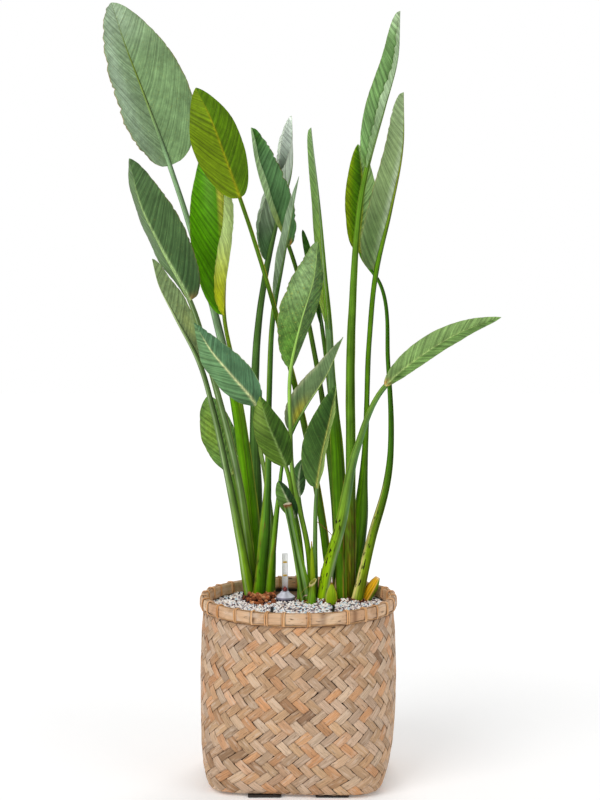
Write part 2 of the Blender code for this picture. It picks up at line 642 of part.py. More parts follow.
def make_leaf(name, leaf):
    steps = 3 if max(abs(turn) for turn in leaf["curl"]) > 60 else 2
    count = 2 * (2 * steps + 1)
    foot = Vector((leaf["foot"][0] * CM, leaf["foot"][1] * CM, crown_height(name)))
    upper = [Vector(point) * CM for point in (*leaf["stalk"], *leaf["blade"])]
    knots, place = smooth_curve([foot, *upper])
    base = knots[len(leaf["stalk"]) + 1]
    neck, foot_half = leaf["neck"] * CM, leaf["foot"][2] * CM
    rings = [stalk_ring(foot, Vector((1, 0, 0)), FRONT, foot_half, count)]
    for k in range(1, STALK_STEPS + 1):
        share = k / STALK_STEPS
        half = mix(foot_half, neck, 0.5 - 0.5 * math.cos(math.pi * share ** leaf.get("taper", 1)))
        rings.append(stalk_ring(place(base * share), *across(place, base * share), half, count))
    for k in range(1, BLADE_STEPS + 1):
        t = 0.5 - 0.5 * math.cos(math.pi * k / BLADE_STEPS)
        distance = mix(base, knots[-1], t)
        width = blade_width(t, leaf["belly"], leaf["tip"])
        most_fold = END_FOLD if k in (1, BLADE_STEPS) else 180
        rings.append(blade_ring(place(distance), *across(place, distance), leaf, width, steps, most_fold))
    add_object(name, loft(rings), "leaf", sharp=180)


def make_stub(name, stub):
    """A short stalk from its heap to a pointed, or a cut and hollow, end."""
    x, y, foot_half = stub["foot"]
    foot = Vector((x * CM, y * CM, crown_height(name)))
    top, top_half = Vector(stub["top"][:3]) * CM, stub["top"][3] * CM
    knots, place = smooth_curve([foot, top])
    side, face = across(place, knots[-1] / 2)
    rings = [
        stalk_ring(foot, Vector((1, 0, 0)), FRONT, foot_half * CM, STUB_SIDES),
        stalk_ring(foot.lerp(top, BELLY_SHARE), side, face, stub["belly"] * CM, STUB_SIDES),
        stalk_ring(top, side, face, top_half, STUB_SIDES),
    ]
    if stub["bore"]:
        inside = top + (foot - top).normalized() * stub["bore"] * CM
        rings += [stalk_ring(end, side, face, top_half * BORE_SHARE, STUB_SIDES) for end in (top, inside)]
    add_object(name, loft(rings), "stalk")


def main():
    for thing in list(bpy.data.objects):
        bpy.data.objects.remove(thing)
    make_basket()
    make_feet()
    make_hoops()
    make_lashing()
    make_liner()
    make_substrate()
    make_gravel()
    make_gauge_pipe()
    make_gauge_collar()
    make_gauge_tube()
    make_gauge_float()
    for name, leaf in LEAVES.items():
        make_leaf(name, leaf)
    for name, stub in STUBS.items():
        make_stub(name, stub)


main()
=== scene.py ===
"""The looks of the potted bird of paradise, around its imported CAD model.

Lengths are metres, except in the tables that say centimetres. The front of the object is towards -Y.
Colours are written as red, green and blue in hexadecimal.
"""

import itertools
import math

import bpy
import numpy as np
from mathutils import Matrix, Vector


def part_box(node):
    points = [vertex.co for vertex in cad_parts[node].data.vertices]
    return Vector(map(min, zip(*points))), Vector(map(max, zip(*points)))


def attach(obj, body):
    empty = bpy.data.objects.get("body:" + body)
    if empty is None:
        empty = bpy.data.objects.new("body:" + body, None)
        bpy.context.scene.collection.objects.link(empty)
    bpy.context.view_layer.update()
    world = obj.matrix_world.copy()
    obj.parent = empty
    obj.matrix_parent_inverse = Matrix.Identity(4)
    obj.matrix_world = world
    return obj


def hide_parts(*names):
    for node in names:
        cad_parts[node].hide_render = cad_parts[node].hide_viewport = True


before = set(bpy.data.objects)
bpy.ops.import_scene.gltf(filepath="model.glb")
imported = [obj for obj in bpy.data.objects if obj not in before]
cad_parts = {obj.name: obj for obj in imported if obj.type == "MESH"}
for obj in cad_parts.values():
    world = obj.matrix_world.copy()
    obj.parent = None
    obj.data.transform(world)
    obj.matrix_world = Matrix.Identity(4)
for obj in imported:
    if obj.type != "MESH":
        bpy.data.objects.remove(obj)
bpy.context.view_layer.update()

CM, MM = 0.01, 0.001
BODY = "planter"
FRONT = np.array([0.0, -1.0, 0.0])

# ---------------------------------------------------------------- camera, floor and light

CAMERA_PLACE = (0.003, -4.0, 1.15)
CAMERA_PITCH = 6.12
CAMERA_LENS = 96.08
# Each lamp's name, place, side and power. They all point at AIM.
LAMPS = (
    ("key", (-2.4, -3.0, 3.6), 3.0, 108),
    ("fill", (2.8, -2.6, 2.0), 2.4, 22),
    ("back", (0.6, 2.6, 3.4), 2.0, 45),
)
AIM = (0, 0, 0.75)
# The backdrop is plain white to the camera, and this strong as a light.
SKY_LIGHT = 0.5
# The floor fades into the backdrop between these distances from the middle.
FLOOR_SIDE = 14
FADE_NEAR, FADE_FAR = 0.35, 1.9


def add_to_scene(name, data):
    made = bpy.data.objects.new(name, data)
    bpy.context.scene.collection.objects.link(made)
    return made


def set_camera_and_light():
    """A camera that looks a little down at the front, three soft lamps and a white sky."""
    scene = bpy.context.scene
    scene.view_settings.view_transform = "Standard"
    scene.camera = add_to_scene("camera", bpy.data.cameras.new("camera"))
    scene.camera.location = CAMERA_PLACE
    scene.camera.rotation_euler = (math.radians(90 - CAMERA_PITCH), 0, 0)
    scene.camera.data.lens = CAMERA_LENS
    for name, place, side, power in LAMPS:
        lamp = add_to_scene(name, bpy.data.lights.new(name, "AREA"))
        lamp.data.size = side
        lamp.data.energy = power
        lamp.location = place
        x, y, z = np.array(AIM) - place
        lamp.rotation_euler = (math.atan2(math.hypot(x, y), -z), 0, math.atan2(y, x) - math.pi / 2)
    scene.world = bpy.data.worlds.new("studio")
    scene.world.use_nodes = True
    tree = scene.world.node_tree
    tree.nodes["Background"].inputs["Color"].default_value = (1, 1, 1, 1)
    seen = tree.nodes.new("ShaderNodeMapRange")
    seen.inputs["To Min"].default_value = SKY_LIGHT
    tree.links.new(tree.nodes.new("ShaderNodeLightPath").outputs["Is Camera Ray"], seen.inputs["Value"])
    tree.links.new(seen.outputs[0], tree.nodes["Background"].inputs["Strength"])


def set_floor():
    """White paper that is lit near the object, and turns into plain white further out."""
    bpy.ops.mesh.primitive_plane_add(size=FLOOR_SIDE)
    floor = bpy.context.object
    floor.name = "floor"
    s = Shader("floor_paper", 0.9)
    s.out.inputs["Emission Color"].default_value = (1, 1, 1, 1)
    distance = s.node("VectorMath", operation="LENGTH")
    s.feed(distance.inputs[0], s.place())
    for socket, near, far in (("Base Color", 0.95, 0.05), ("Emission Strength", 0.12, 1.0)):
        fade = s.node("MapRange", interpolation_type="SMOOTHSTEP")
        for place, value in enumerate((distance.outputs["Value"], FADE_NEAR, FADE_FAR, near, far)):
            s.feed(fade.inputs[place], value)
        s.feed(s.out.inputs[socket], fade.outputs[0])
    floor.data.materials.append(s.material)


# ---------------------------------------------------------------- small tools


def srgb(code):
    """A hexadecimal colour as linear red, green and blue."""
    values = np.array([int(code[k : k + 2], 16) / 255 for k in (0, 2, 4)])
    return np.where(values <= 0.04045, values / 12.92, ((values + 0.055) / 1.055) ** 2.4)


def mix(a, b, t):
    return a + (b - a) * t


def smooth(low, high, value):
    """0 at low and before it, 1 at high and after it, with a soft step between them."""
    t = np.clip((value - low) / (high - low), 0, 1)
    return t * t * (3 - 2 * t)


def bell(value, middle, reach):
    """1 in the middle, falling away on both sides."""
    return np.exp(-(((value - middle) / reach) ** 2))


def wobble(seed, t, cycles):
    """Smooth irregular values, mostly from -1 to 1, with up to this many cycles for each unit of t."""
    draw = np.random.default_rng(seed)
    total = np.zeros_like(np.asarray(t, float))
    for share in (0.25, 0.45, 0.7, 1.0):
        total = total + np.sin(math.tau * (cycles * share * draw.uniform(0.85, 1.15) * t + draw.random()))
    return total / 2.2


def unit(vectors):
    return vectors / np.maximum(np.linalg.norm(vectors, axis=-1, keepdims=True), 1e-12)


def stacked(*values):
    """Vectors whose parts are these arrays, each spread out to the shape that they share."""
    return np.stack(np.broadcast_arrays(*values), -1)


def tint(tone, code, share):
    """The tone of each point, moved towards a colour by that point's share."""
    return mix(tone, srgb(code), np.asarray(share)[..., None])


def grid_faces(first, rows, columns, closed=False):
    """Quads over a grid of points numbered row by row from first. closed joins each row's ends."""
    across = columns if closed else columns - 1
    row, column = np.meshgrid(np.arange(rows - 1), np.arange(across), indexing="ij")
    following = (column + 1) % columns
    a, b = first + row * columns + column, first + row * columns + following
    return np.stack([a, b, b + columns, a + columns], -1).reshape(-1, 4).tolist()


class Builder:
    """Collects the points, faces and per-point values of one piece."""

    def __init__(self):
        self.points, self.paint, self.grain, self.faces, self.kinds = [], [], [], [], []
        self.count = 0

    def add(self, points, faces, paint, grain=None, kinds=0):
        """faces index points from 0, and kinds say which of the piece's materials each face has."""
        points = np.asarray(points, float).reshape(-1, 3)
        self.points.append(points)
        self.paint.append(np.broadcast_to(np.reshape(paint, (-1, 3)), points.shape))
        self.grain.append(np.zeros_like(points) if grain is None else np.reshape(grain, (-1, 3)))
        self.faces += [[self.count + i for i in face] for face in faces]
        self.kinds += np.broadcast_to(kinds, len(faces)).tolist()
        self.count += len(points)

    def piece(self, name, materials, slot, replaces=(), body=BODY, flat=False):
        mesh = bpy.data.meshes.new(name)
        points = np.concatenate(self.points)
        mesh.from_pydata(points.tolist(), [], self.faces)
        mesh.polygons.foreach_set("use_smooth", [not flat] * len(self.faces))
        mesh.polygons.foreach_set("material_index", self.kinds)
        colours = np.ones((len(points), 4), np.float32)
        colours[:, :3] = np.concatenate(self.paint)
        mesh.attributes.new("paint", "FLOAT_COLOR", "POINT").data.foreach_set("color", colours.ravel())
        grain = np.concatenate(self.grain).astype(np.float32)
        mesh.attributes.new("grain", "FLOAT_VECTOR", "POINT").data.foreach_set("vector", grain.ravel())
        mesh.update()
        for material in materials:
            mesh.materials.append(MATERIALS[material])
        made = add_to_scene(name, mesh)
        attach(made, body)
        if replaces:
            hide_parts(*replaces)


def ring_body(builder, rings, paint, grain=None, kind=0, caps=True):
    """A tube through rings of equally many points, with flat caps on its ends."""
    rings = np.asarray(rings, float)
    rows, columns = rings.shape[:2]
    faces = grid_faces(0, rows, columns, closed=True)
    if caps:
        faces += [list(range(columns))[::-1], list(range((rows - 1) * columns, rows * columns))]
    builder.add(rings, faces, paint, grain, kind)


def sheet(builder, sides, paints, grain, kinds=(0, 0), turned=False):
    """A thin closed sheet between two grids of points. turned is for columns that run the other way."""
    rows, columns = sides[0].shape[:2]
    count = rows * columns
    first, second = (grid_faces(start, rows, columns) for start in (0, count))
    if turned:
        first = [face[::-1] for face in first]
    else:
        second = [face[::-1] for face in second]
    number = np.arange(count).reshape(rows, columns)
    rim = np.concatenate([number[0], number[1:, -1], number[-1, -2::-1], number[-2:0:-1, 0]]).tolist()
    edge = [[a, a + count, b + count, b] for a, b in zip(rim, rim[1:] + rim[:1])]
    if turned:
        edge = [face[::-1] for face in edge]
    face_kinds = np.repeat([*kinds, kinds[0]], [len(first), len(second), len(edge)])
    builder.add(np.stack(sides), first + second + edge, np.stack(paints), np.stack([grain] * 2), face_kinds)


def lathe(builder, outline, place, paint, sides=64):
    """A body of revolution from points of radius and height down its outer side, or round its section."""
    turns = np.arange(sides) * math.tau / sides
    radius, height = np.array(outline).T[:, :, None]
    rings = stacked(radius * np.cos(turns) + place[0], radius * np.sin(turns) + place[1], height)
    ring_body(builder, rings, paint, caps=outline[0] != outline[-1])


# ---------------------------------------------------------------- materials


class Shader:
    """A Principled material and the few kinds of node that its patterns need."""

    def __init__(self, name, roughness=0.5, specular=0.5, **settings):
        self.material = bpy.data.materials.new(name)
        self.material.use_nodes = True
        self.tree = self.material.node_tree
        self.out = self.tree.nodes["Principled BSDF"]
        self.out.inputs["Roughness"].default_value = roughness
        self.out.inputs["Specular IOR Level"].default_value = specular
        for key, value in settings.items():
            self.out.inputs[key].default_value = value

    def node(self, kind, **settings):
        made = self.tree.nodes.new("ShaderNode" + kind)
        for key, value in settings.items():
            setattr(made, key, value)
        return made

    def feed(self, socket, value):
        if isinstance(value, bpy.types.NodeSocket):
            self.tree.links.new(value, socket)
        else:
            socket.default_value = value

    def place(self):
        return self.node("TexCoord").outputs["Object"]

    def paint(self):
        """The colour that the piece's points hold."""
        return self.node("Attribute", attribute_name="paint").outputs["Color"]

    def grain(self):
        """The three numbers that the piece's points hold."""
        return self.parts(self.node("Attribute", attribute_name="grain").outputs["Vector"])

    def parts(self, vector):
        split = self.node("SeparateXYZ")
        self.feed(split.inputs[0], vector)
        return split.outputs

    def maths(self, operation, *values):
        made = self.node("Math", operation=operation)
        for socket, value in zip(made.inputs, values):
            self.feed(socket, value)
        return made.outputs[0]

    def times(self, first, *others):
        for other in others:
            first = self.maths("MULTIPLY", first, other)
        return first

    def plus(self, first, *others):
        for other in others:
            first = self.maths("ADD", first, other)
        return first

    def noise(self, vector, scale, detail=2.0, rough=0.5, line=False):
        """Noise from 0 to 1 at a point, or along a line."""
        made = self.node("TexNoise", noise_dimensions="1D" if line else "3D")
        self.feed(made.inputs["W" if line else "Vector"], vector)
        made.inputs["Scale"].default_value = scale
        made.inputs["Detail"].default_value = detail
        made.inputs["Roughness"].default_value = rough
        return made.outputs["Fac"]

    def cloud(self, scale, detail=2.0, rough=0.5):
        """Noise through the object's space, with this many cycles for each metre."""
        return self.noise(self.place(), scale, detail, rough)

    def streaks(self, x, x_scale, y, y_scale, own, detail, rough):
        """Noise with different cycles for each metre in two directions. own sets strips apart."""
        joined = self.node("CombineXYZ")
        for socket, value in zip(joined.inputs, (self.times(x, x_scale), self.times(y, y_scale), own)):
            self.feed(socket, value)
        return self.noise(joined.outputs[0], 1.0, detail, rough)

    def spread(self, value, low, high, to_low=0.0, to_high=1.0):
        """value moved from the range low to high into another range, and held there."""
        made = self.node("MapRange", clamp=True)
        for socket, number in zip(made.inputs, (value, low, high, to_low, to_high)):
            self.feed(socket, number)
        return made.outputs[0]

    def blend(self, share, first, second):
        """The first colour moved towards the second by a share. Either may be a hexadecimal code."""
        made = self.node("Mix", data_type="RGBA")
        for place, value in ((0, share), (6, first), (7, second)):
            self.feed(made.inputs[place], (*srgb(value), 1) if isinstance(value, str) else value)
        return made.outputs[2]

    def shade(self, colour, amount):
        """The colour times a number."""
        scaled = self.node("VectorMath", operation="SCALE")
        self.feed(scaled.inputs[0], colour)
        self.feed(scaled.inputs["Scale"], amount)
        return scaled.outputs[0]

    def finish(self, colour, height, depth, roughness=None):
        """The material, with a bump this deep for a height from 0 to 1."""
        self.feed(self.out.inputs["Base Color"], colour)
        if roughness is not None:
            self.feed(self.out.inputs["Roughness"], roughness)
        bump = self.node("Bump")
        bump.inputs["Strength"].default_value = 1.0
        bump.inputs["Distance"].default_value = depth
        self.feed(bump.inputs["Height"], height)
        self.feed(self.out.inputs["Normal"], bump.outputs[0])
        return self.material


def fibre_material(name, roughness, contrast, fine=900.0, coarse=26.0, cracks=0.5):
    """Split bamboo or rattan. grain holds metres along the strip and across it, and the strip's number."""
    s = Shader(name, roughness, 0.35)
    along, across, own = s.grain()
    fibres = s.streaks(along, coarse, across, fine, own, 4.0, 0.7)
    worn = s.streaks(along, coarse * 1.4, across, fine / 5, own, 2.0, 0.55)
    split = s.streaks(along, coarse * 2.5, across, fine / 2, s.plus(own, 40.0), 2.0, 0.5)
    crack = s.spread(split, 0.64, 0.70, 0.0, cracks)
    speck = s.spread(s.cloud(420.0, 2.0, 0.6), 0.69, 0.75, 0.0, 0.65)
    colour = s.shade(s.paint(), s.spread(fibres, 0.3, 0.7, 1 - contrast, 1 + contrast * 0.6))
    colour = s.blend(s.spread(worn, 0.52, 0.68, 0.0, 0.5), colour, "ddc6b0")
    colour = s.blend(crack, colour, "5e3e26")
    colour = s.blend(speck, colour, "5a3c26")
    height = s.maths("SUBTRACT", s.plus(fibres, s.times(worn, 0.6)), s.times(crack, 1.5))
    return s.finish(colour, height, 0.4 * MM)


VEIN_LEAN, VEIN_CURVE = 1.0, 9.0
# A shift along the blade that sets the veins of its two halves apart.
HALVES_APART = 3.7
RIDGES_PER_METRE, VEINS_PER_METRE = 125.0, 480.0


def leaf_material(name, roughness, depth, specular):
    """A leaf blade. grain holds metres across the blade and along it, and how blotched it is."""
    s = Shader(name, roughness, specular)
    across, along, blotched = s.grain()
    away = s.maths("ABSOLUTE", across)
    lean = s.plus(s.times(away, VEIN_LEAN), s.times(away, away, VEIN_CURVE))
    half = s.times(s.maths("SIGN", across), HALVES_APART)
    line = s.plus(s.maths("SUBTRACT", along, lean), half)
    ridges = s.noise(line, RIDGES_PER_METRE, 1.0, 0.4, line=True)
    veins = s.noise(line, VEINS_PER_METRE, 1.0, 0.5, line=True)
    cloud = s.cloud(22.0, 3.0, 0.6)
    streaks = s.streaks(across, 90.0, line, 420.0, 0.0, 3.0, 0.65)
    blotch = s.spread(s.cloud(85.0, 3.0, 0.65), 0.32, 0.68, -0.4, 0.45)
    tone = s.times(
        s.spread(ridges, 0.33, 0.67, 1 - depth * 1.1, 1 + depth * 1.1),
        s.spread(veins, 0.35, 0.65, 1 - depth * 0.6, 1 + depth * 0.6),
        s.spread(streaks, 0.3, 0.7, 1 - depth, 1 + depth),
        s.spread(cloud, 0.25, 0.75, 0.78, 1.22),
        s.maths("MULTIPLY_ADD", blotch, blotched, 1.0),
    )
    fleck = s.times(s.spread(s.cloud(300.0, 2.0, 0.6), 0.62, 0.7, 0.0, 0.6), blotched)
    colour = s.blend(fleck, s.shade(s.paint(), tone), "b0b04c")
    height = s.plus(s.times(ridges, 2.1), s.times(veins, 0.5), s.times(cloud, 1.5))
    return s.finish(colour, height, 0.55 * MM, s.spread(cloud, 0.3, 0.7, roughness - 0.06, roughness + 0.08))


def stalk_material(name):
    """A leaf stalk. grain holds metres round it and along it, and how much it is spotted."""
    s = Shader(name, 0.36, 0.1)
    around, along, spots = s.grain()
    fibres = s.streaks(around, 420.0, along, 9.0, 0.0, 3.0, 0.6)
    cloud = s.cloud(30.0)
    blots = s.streaks(around, 330.0, along, 55.0, 2.0, 2.0, 0.5)
    tone = s.times(s.spread(fibres, 0.3, 0.7, 0.55, 1.4), s.spread(cloud, 0.3, 0.7, 0.84, 1.16))
    colour = s.blend(s.times(s.spread(blots, 0.575, 0.635), spots), s.shade(s.paint(), tone), "2c2410")
    height = s.plus(s.times(fibres, 0.8), cloud)
    return s.finish(colour, height, 0.4 * MM, s.spread(cloud, 0.3, 0.7, 0.3, 0.46))


def painted_material(name, roughness, scale, low, high, bump=0.5 * MM):
    """The piece's own paint, specked between low and high times as bright, with a rough skin."""
    s = Shader(name, roughness, 0.3)
    specks = s.cloud(scale, 4.0, 0.7)
    return s.finish(s.shade(s.paint(), s.spread(specks, 0.3, 0.7, low, high)), specks, bump)


def bed_material(name, dark, light, scale):
    """The ground between the loose grains: lumps of two colours, in deep painted shade behind the gauge."""
    s = Shader(name, 0.9, 0.2)
    lumps = s.cloud(scale)
    colour = s.blend(s.spread(lumps, 0.45, 0.55), dark, light)
    back = s.parts(s.place())[1]
    # Painted deep shade behind the gauge.
    colour = s.shade(colour, s.spread(back, 0.07, 0.09, 1.0, 0.06))
    # Further back it turns brown: painted shade, as the rim's inner wall in shadow.
    return s.finish(s.blend(s.spread(back, 0.105, 0.15), colour, "7c6048"), lumps, 1.5 * MM)


def plain_material(name, code, roughness, scale=300.0, depth=0.1, bump=0.1 * MM, **settings):
    """Moulded plastic, whose skin has a fine grain and slightly uneven colour."""
    s = Shader(name, roughness, 0.5, **settings)
    cloud = s.cloud(scale)
    base = s.node("RGB")
    base.outputs[0].default_value = (*srgb(code), 1)
    colour = s.shade(base.outputs[0], s.spread(cloud, 0.3, 0.7, 1 - depth, 1 + depth))
    return s.finish(colour, cloud, bump, s.spread(cloud, 0.3, 0.7, roughness * 0.85, roughness * 1.15))


# ---------------------------------------------------------------- basket

BASKET_TURN = math.radians(-4)
WEAVE_RADIUS = 0.186
WEAVE_START = 0.105
# (height, half width, squareness) as in the CAD model, with a stretch of its underside before them.
BASKET_OUTLINE = (
    (0.0045, WEAVE_START, 6.0),
    (0.0045, 0.155, 6.0),
    (0.0075, 0.162, 6.0),
    (0.018, 0.1675, 5.4),
    (0.040, 0.174, 4.4),
    (0.075, 0.1805, 3.3),
    (0.120, 0.184, 2.5),
    (0.200, 0.186, 2.1),
    (0.285, 0.1835, 2.0),
    (0.324, 0.180, 2.0),
    (0.332, 0.1795, 2.0),
)
PROFILE_STEP = 0.5 * MM
# The outline's corners are rounded over this many steps.
PROFILE_SOFT = 9
# The numbers of strips that rise and fall to the right. A rising strip takes this part of a cell's width.
RISING, FALLING = 48, 52
RISING_SHARE = 0.5435
STRIP_RISE = 9.84 * MM
STRIP_THICK = 0.9 * MM
# A float is the stretch where a strip lies on top, two cells long. Each of its ends reaches this part of
# a cell on, to where it has gone under the next strip.
FLOAT_CELLS = 2
FLOAT_REACH = 0.24
FLOAT_ALONG = (0, 0.05, 0.1, 0.16, 0.3, 0.5, 0.7, 0.84, 0.9, 0.95, 1)
FLOAT_ACROSS = (-0.5, -0.42, 0.42, 0.5)
FLOAT_LOW, FLOAT_HIGH = -1.3 * MM, 0.55 * MM
STRIP_COLOURS = ("cea780", "d4b498", "dca272", "a88768", "d4ae86", "c4966c", "dec0a2", "b48860")
STRIP_WEIGHTS = (0.22, 0.2, 0.15, 0.09, 0.14, 0.1, 0.06, 0.04)
# This share of the floats has a brown stain.
STAINED = 0.02
SHADE_SHELL_DEPTH = 2.4 * MM


def basket_profile():
    """Distances along the basket's profile, with the height, half width and squareness at each."""
    outline = np.array(BASKET_OUTLINE)
    steps = np.hypot(np.diff(outline[:, 0]), np.diff(outline[:, 1]))
    knots = np.concatenate([[0], np.cumsum(steps)])
    distance = np.arange(0, knots[-1], PROFILE_STEP)
    soft = np.hanning(2 * PROFILE_SOFT + 1)
    table = [distance]
    for values in outline.T:
        padded = np.pad(np.interp(distance, knots, values), PROFILE_SOFT, mode="edge")
        table.append(np.convolve(padded, soft / soft.sum(), mode="valid"))
    return table


PROFILE = basket_profile()
PROFILE_LENGTH = PROFILE[0][-1]


def on_basket(around, up):
    """The place on the basket's skin at a distance round it and a distance up its profile."""
    height, half, squareness = (np.interp(up, PROFILE[0], values) for values in PROFILE[1:])
    angle = around / WEAVE_RADIUS
    x, y = np.abs(np.cos(angle - BASKET_TURN)) / half, np.abs(np.sin(angle - BASKET_TURN)) / half
    radius = (x**squareness + y**squareness) ** (-1 / squareness)
    return stacked(radius * np.cos(angle), radius * np.sin(angle), height)


def lifted(around, up, lift):
    """The same place, raised off the skin along its normal."""
    step = 0.4 * MM
    place = on_basket(around, up)
    normal = np.cross(on_basket(around + step, up) - place, on_basket(around, up + step) - place)
    return place + unit(normal) * np.asarray(lift)[..., None]


def add_float(builder, corner, along, across, strip, draw):
    """One visible stretch of a strip, from where it comes out from under others to where it dives again."""
    t, c = np.meshgrid(FLOAT_ALONG, FLOAT_ACROSS, indexing="ij")
    cells = mix(-FLOAT_REACH, FLOAT_CELLS + FLOAT_REACH, t)
    depth = np.minimum(cells, FLOAT_CELLS - cells) + FLOAT_REACH
    at_edge = np.abs(c) > 0.45
    width = strip["width"] * draw.uniform(0.98, 1.04)
    offset = 0.5 + strip["offset"] + draw.uniform(-0.025, 0.025)
    skew = draw.uniform(-0.03, 0.03) * (cells - FLOAT_CELLS / 2)
    ends = 1 - 0.1 * smooth(0.2, 0.0, depth - FLOAT_REACH)
    uneven = 0.02 * np.sin(cells * 5 + draw.uniform(0, math.tau)) * np.sign(c)
    shift = offset + skew + c * width * ends + uneven
    around = corner[0] + along[0] * cells + across[0] * shift
    up = np.clip(corner[1] + along[1] * cells + across[1] * shift, 0, PROFILE_LENGTH)
    lift = mix(FLOAT_LOW, FLOAT_HIGH, smooth(0, FLOAT_REACH + 0.34, depth))
    lift = lift + draw.uniform(-0.2, 0.25) * MM + draw.uniform(-0.3, 0.3) * MM * c
    lift = lift - np.where(at_edge, 0.25 * MM, 0)
    tone = mix(strip["colour"], srgb(draw.choice(STRIP_COLOURS, p=STRIP_WEIGHTS)), draw.uniform(0, 0.6))
    tone = tone * draw.uniform(0.78, 1.08)
    if draw.random() < STAINED:
        tone = mix(tone, srgb("6a4c34"), draw.uniform(0.4, 0.8))
    # Painted shade where the strip dives under the next one, and along its edges.
    shadow = mix(0.55, 1.0, smooth(0.1, FLOAT_REACH + 0.16, depth)) * np.where(at_edge, 0.92, 1.0)
    paint = tone * shadow[..., None]
    metres = cells * math.hypot(*along) + strip["number"] * 0.37 + corner[0] * 0.5
    grain = stacked(metres, c * width * math.hypot(*across), strip["number"] * 1.7)
    sides = lifted(around, up, lift), lifted(around, up, lift - STRIP_THICK)
    # The inner face is painted half as bright, as painted shade against the shell.
    sheet(builder, sides, (paint, paint * 0.5), grain)


def weave(name, strips, along, across, first, draw):
    """The floats of all the strips that run along. A strip goes over two others and under two.

    along and across are one cell's steps, and first is the cell where strip 0 comes to the top.
    """
    builder = Builder()
    for number in range(strips):
        colour = srgb(draw.choice(STRIP_COLOURS, p=STRIP_WEIGHTS))
        width, offset = draw.uniform(0.92, 1.01), draw.uniform(-0.03, 0.03)
        strip = dict(number=number, colour=colour, width=width, offset=offset)
        start = number * across
        low, high = sorted((-start[1] / along[1], (PROFILE_LENGTH - start[1]) / along[1]))
        turn = number + first
        for k in range(math.floor((low - turn) / 4) - 1, math.ceil((high - turn) / 4) + 1):
            cell = turn + 4 * k
            if low <= cell + FLOAT_CELLS and cell <= high:
                add_float(builder, start + cell * along, along, across, strip, draw)
    builder.piece(name, ["weave"], "bamboo")


def make_basket():
    """The weave, in two pieces of strips that rise and fall to the right, on a dark shell of painted shade.
    """
    girth = math.tau * WEAVE_RADIUS
    mean = girth / (RISING + FALLING)
    down = np.array([2 * mean * (1 - RISING_SHARE), -STRIP_RISE * FALLING / RISING])
    rise = np.array([(girth - RISING * down[0]) / FALLING, STRIP_RISE])
    draw = np.random.default_rng(5)
    weave("weave_rising", RISING, rise, down, -1, draw)
    weave("weave_falling", FALLING, down, rise, 2, draw)
    around = np.linspace(0, girth, 120, endpoint=False)
    rings = lifted(around, np.linspace(0, PROFILE_LENGTH, 40)[:, None], np.full((40, 120), -SHADE_SHELL_DEPTH))
    inner = rings[::-1] * (0.985, 0.985, 1)
    inner[-1] += (0, 0, 3 * MM)
    builder = Builder()
    # The shell's dark brown is painted shade, seen through the gaps and small holes of the weave.
    ring_body(builder, np.concatenate([rings, inner]), srgb("3e2a1a"))
    builder.piece("basket_shade_shell", ["weave"], "bamboo", ["basket"])


# ---------------------------------------------------------------- rim

RIM_TOP = 0.350
# Each hoop's inner and outer radius, and its lower and upper edge.
OUTER_HOOP = (0.1803, 0.1850, 0.3272, 0.3486)
INNER_HOOP = (0.1730, 0.1767, 0.3255, 0.3486)
HOOP_SIDES = 480
HOOP_JOINTS = 9
HOOP_EDGE = 1.2 * MM
# Where the lashings cross the rim, in degrees to the right from the front, and how many strands each has.
LASHINGS = (
    (-76, 2), (-66, 1), (-54, 2), (-39, 2), (-27.5, 1), (-18.5, 2), (-8.5, 2), (6, 2), (29.5, 2), (42, 2),
    (52, 1), (63, 2), (75, 2), (88, 1), (99, 2), (111, 2), (124, 1), (134, 2), (147, 2), (158, 1), (169, 2),
    (181, 2), (192, 2), (205, 1), (216, 2), (228, 2), (240, 1), (250, 2), (262, 2), (273, 1),
)
DOUBLED_PITCH = 3.4 * MM
LASHING_THICK = 2.0 * MM
# The two strands that run round the top: radius and height.
TOP_STRANDS = ((0.1774, 0.3486), (0.1795, 0.3489))
# The splints under the outer hoop: radius, height in millimetres above the hoop's lower edge, and colour.
SPLINTS = ((0.1846, -1.1, "a07448"), (0.1834, -2.3, "6e4a2c"), (0.1851, 0.7, "c49868"))


def hoop_section(inside, outside, low, high, bulge):
    """A split-bamboo band's section: flat on its pith side, and rounded on its skin side."""
    t = np.arange(9) / 8
    radius = outside - HOOP_EDGE * (2 * t - 1) ** 8 + bulge * np.sin(math.pi * t)
    skin = np.column_stack([radius, mix(low, high, t)])
    pith = (
        (mix(outside, inside, 0.5), high + 0.3 * MM), (inside + 0.2 * MM, high - 0.4 * MM),
        (inside, mix(high, low, 0.5)), (inside + 0.2 * MM, low + 0.4 * MM),
    )
    return np.concatenate([skin, pith])


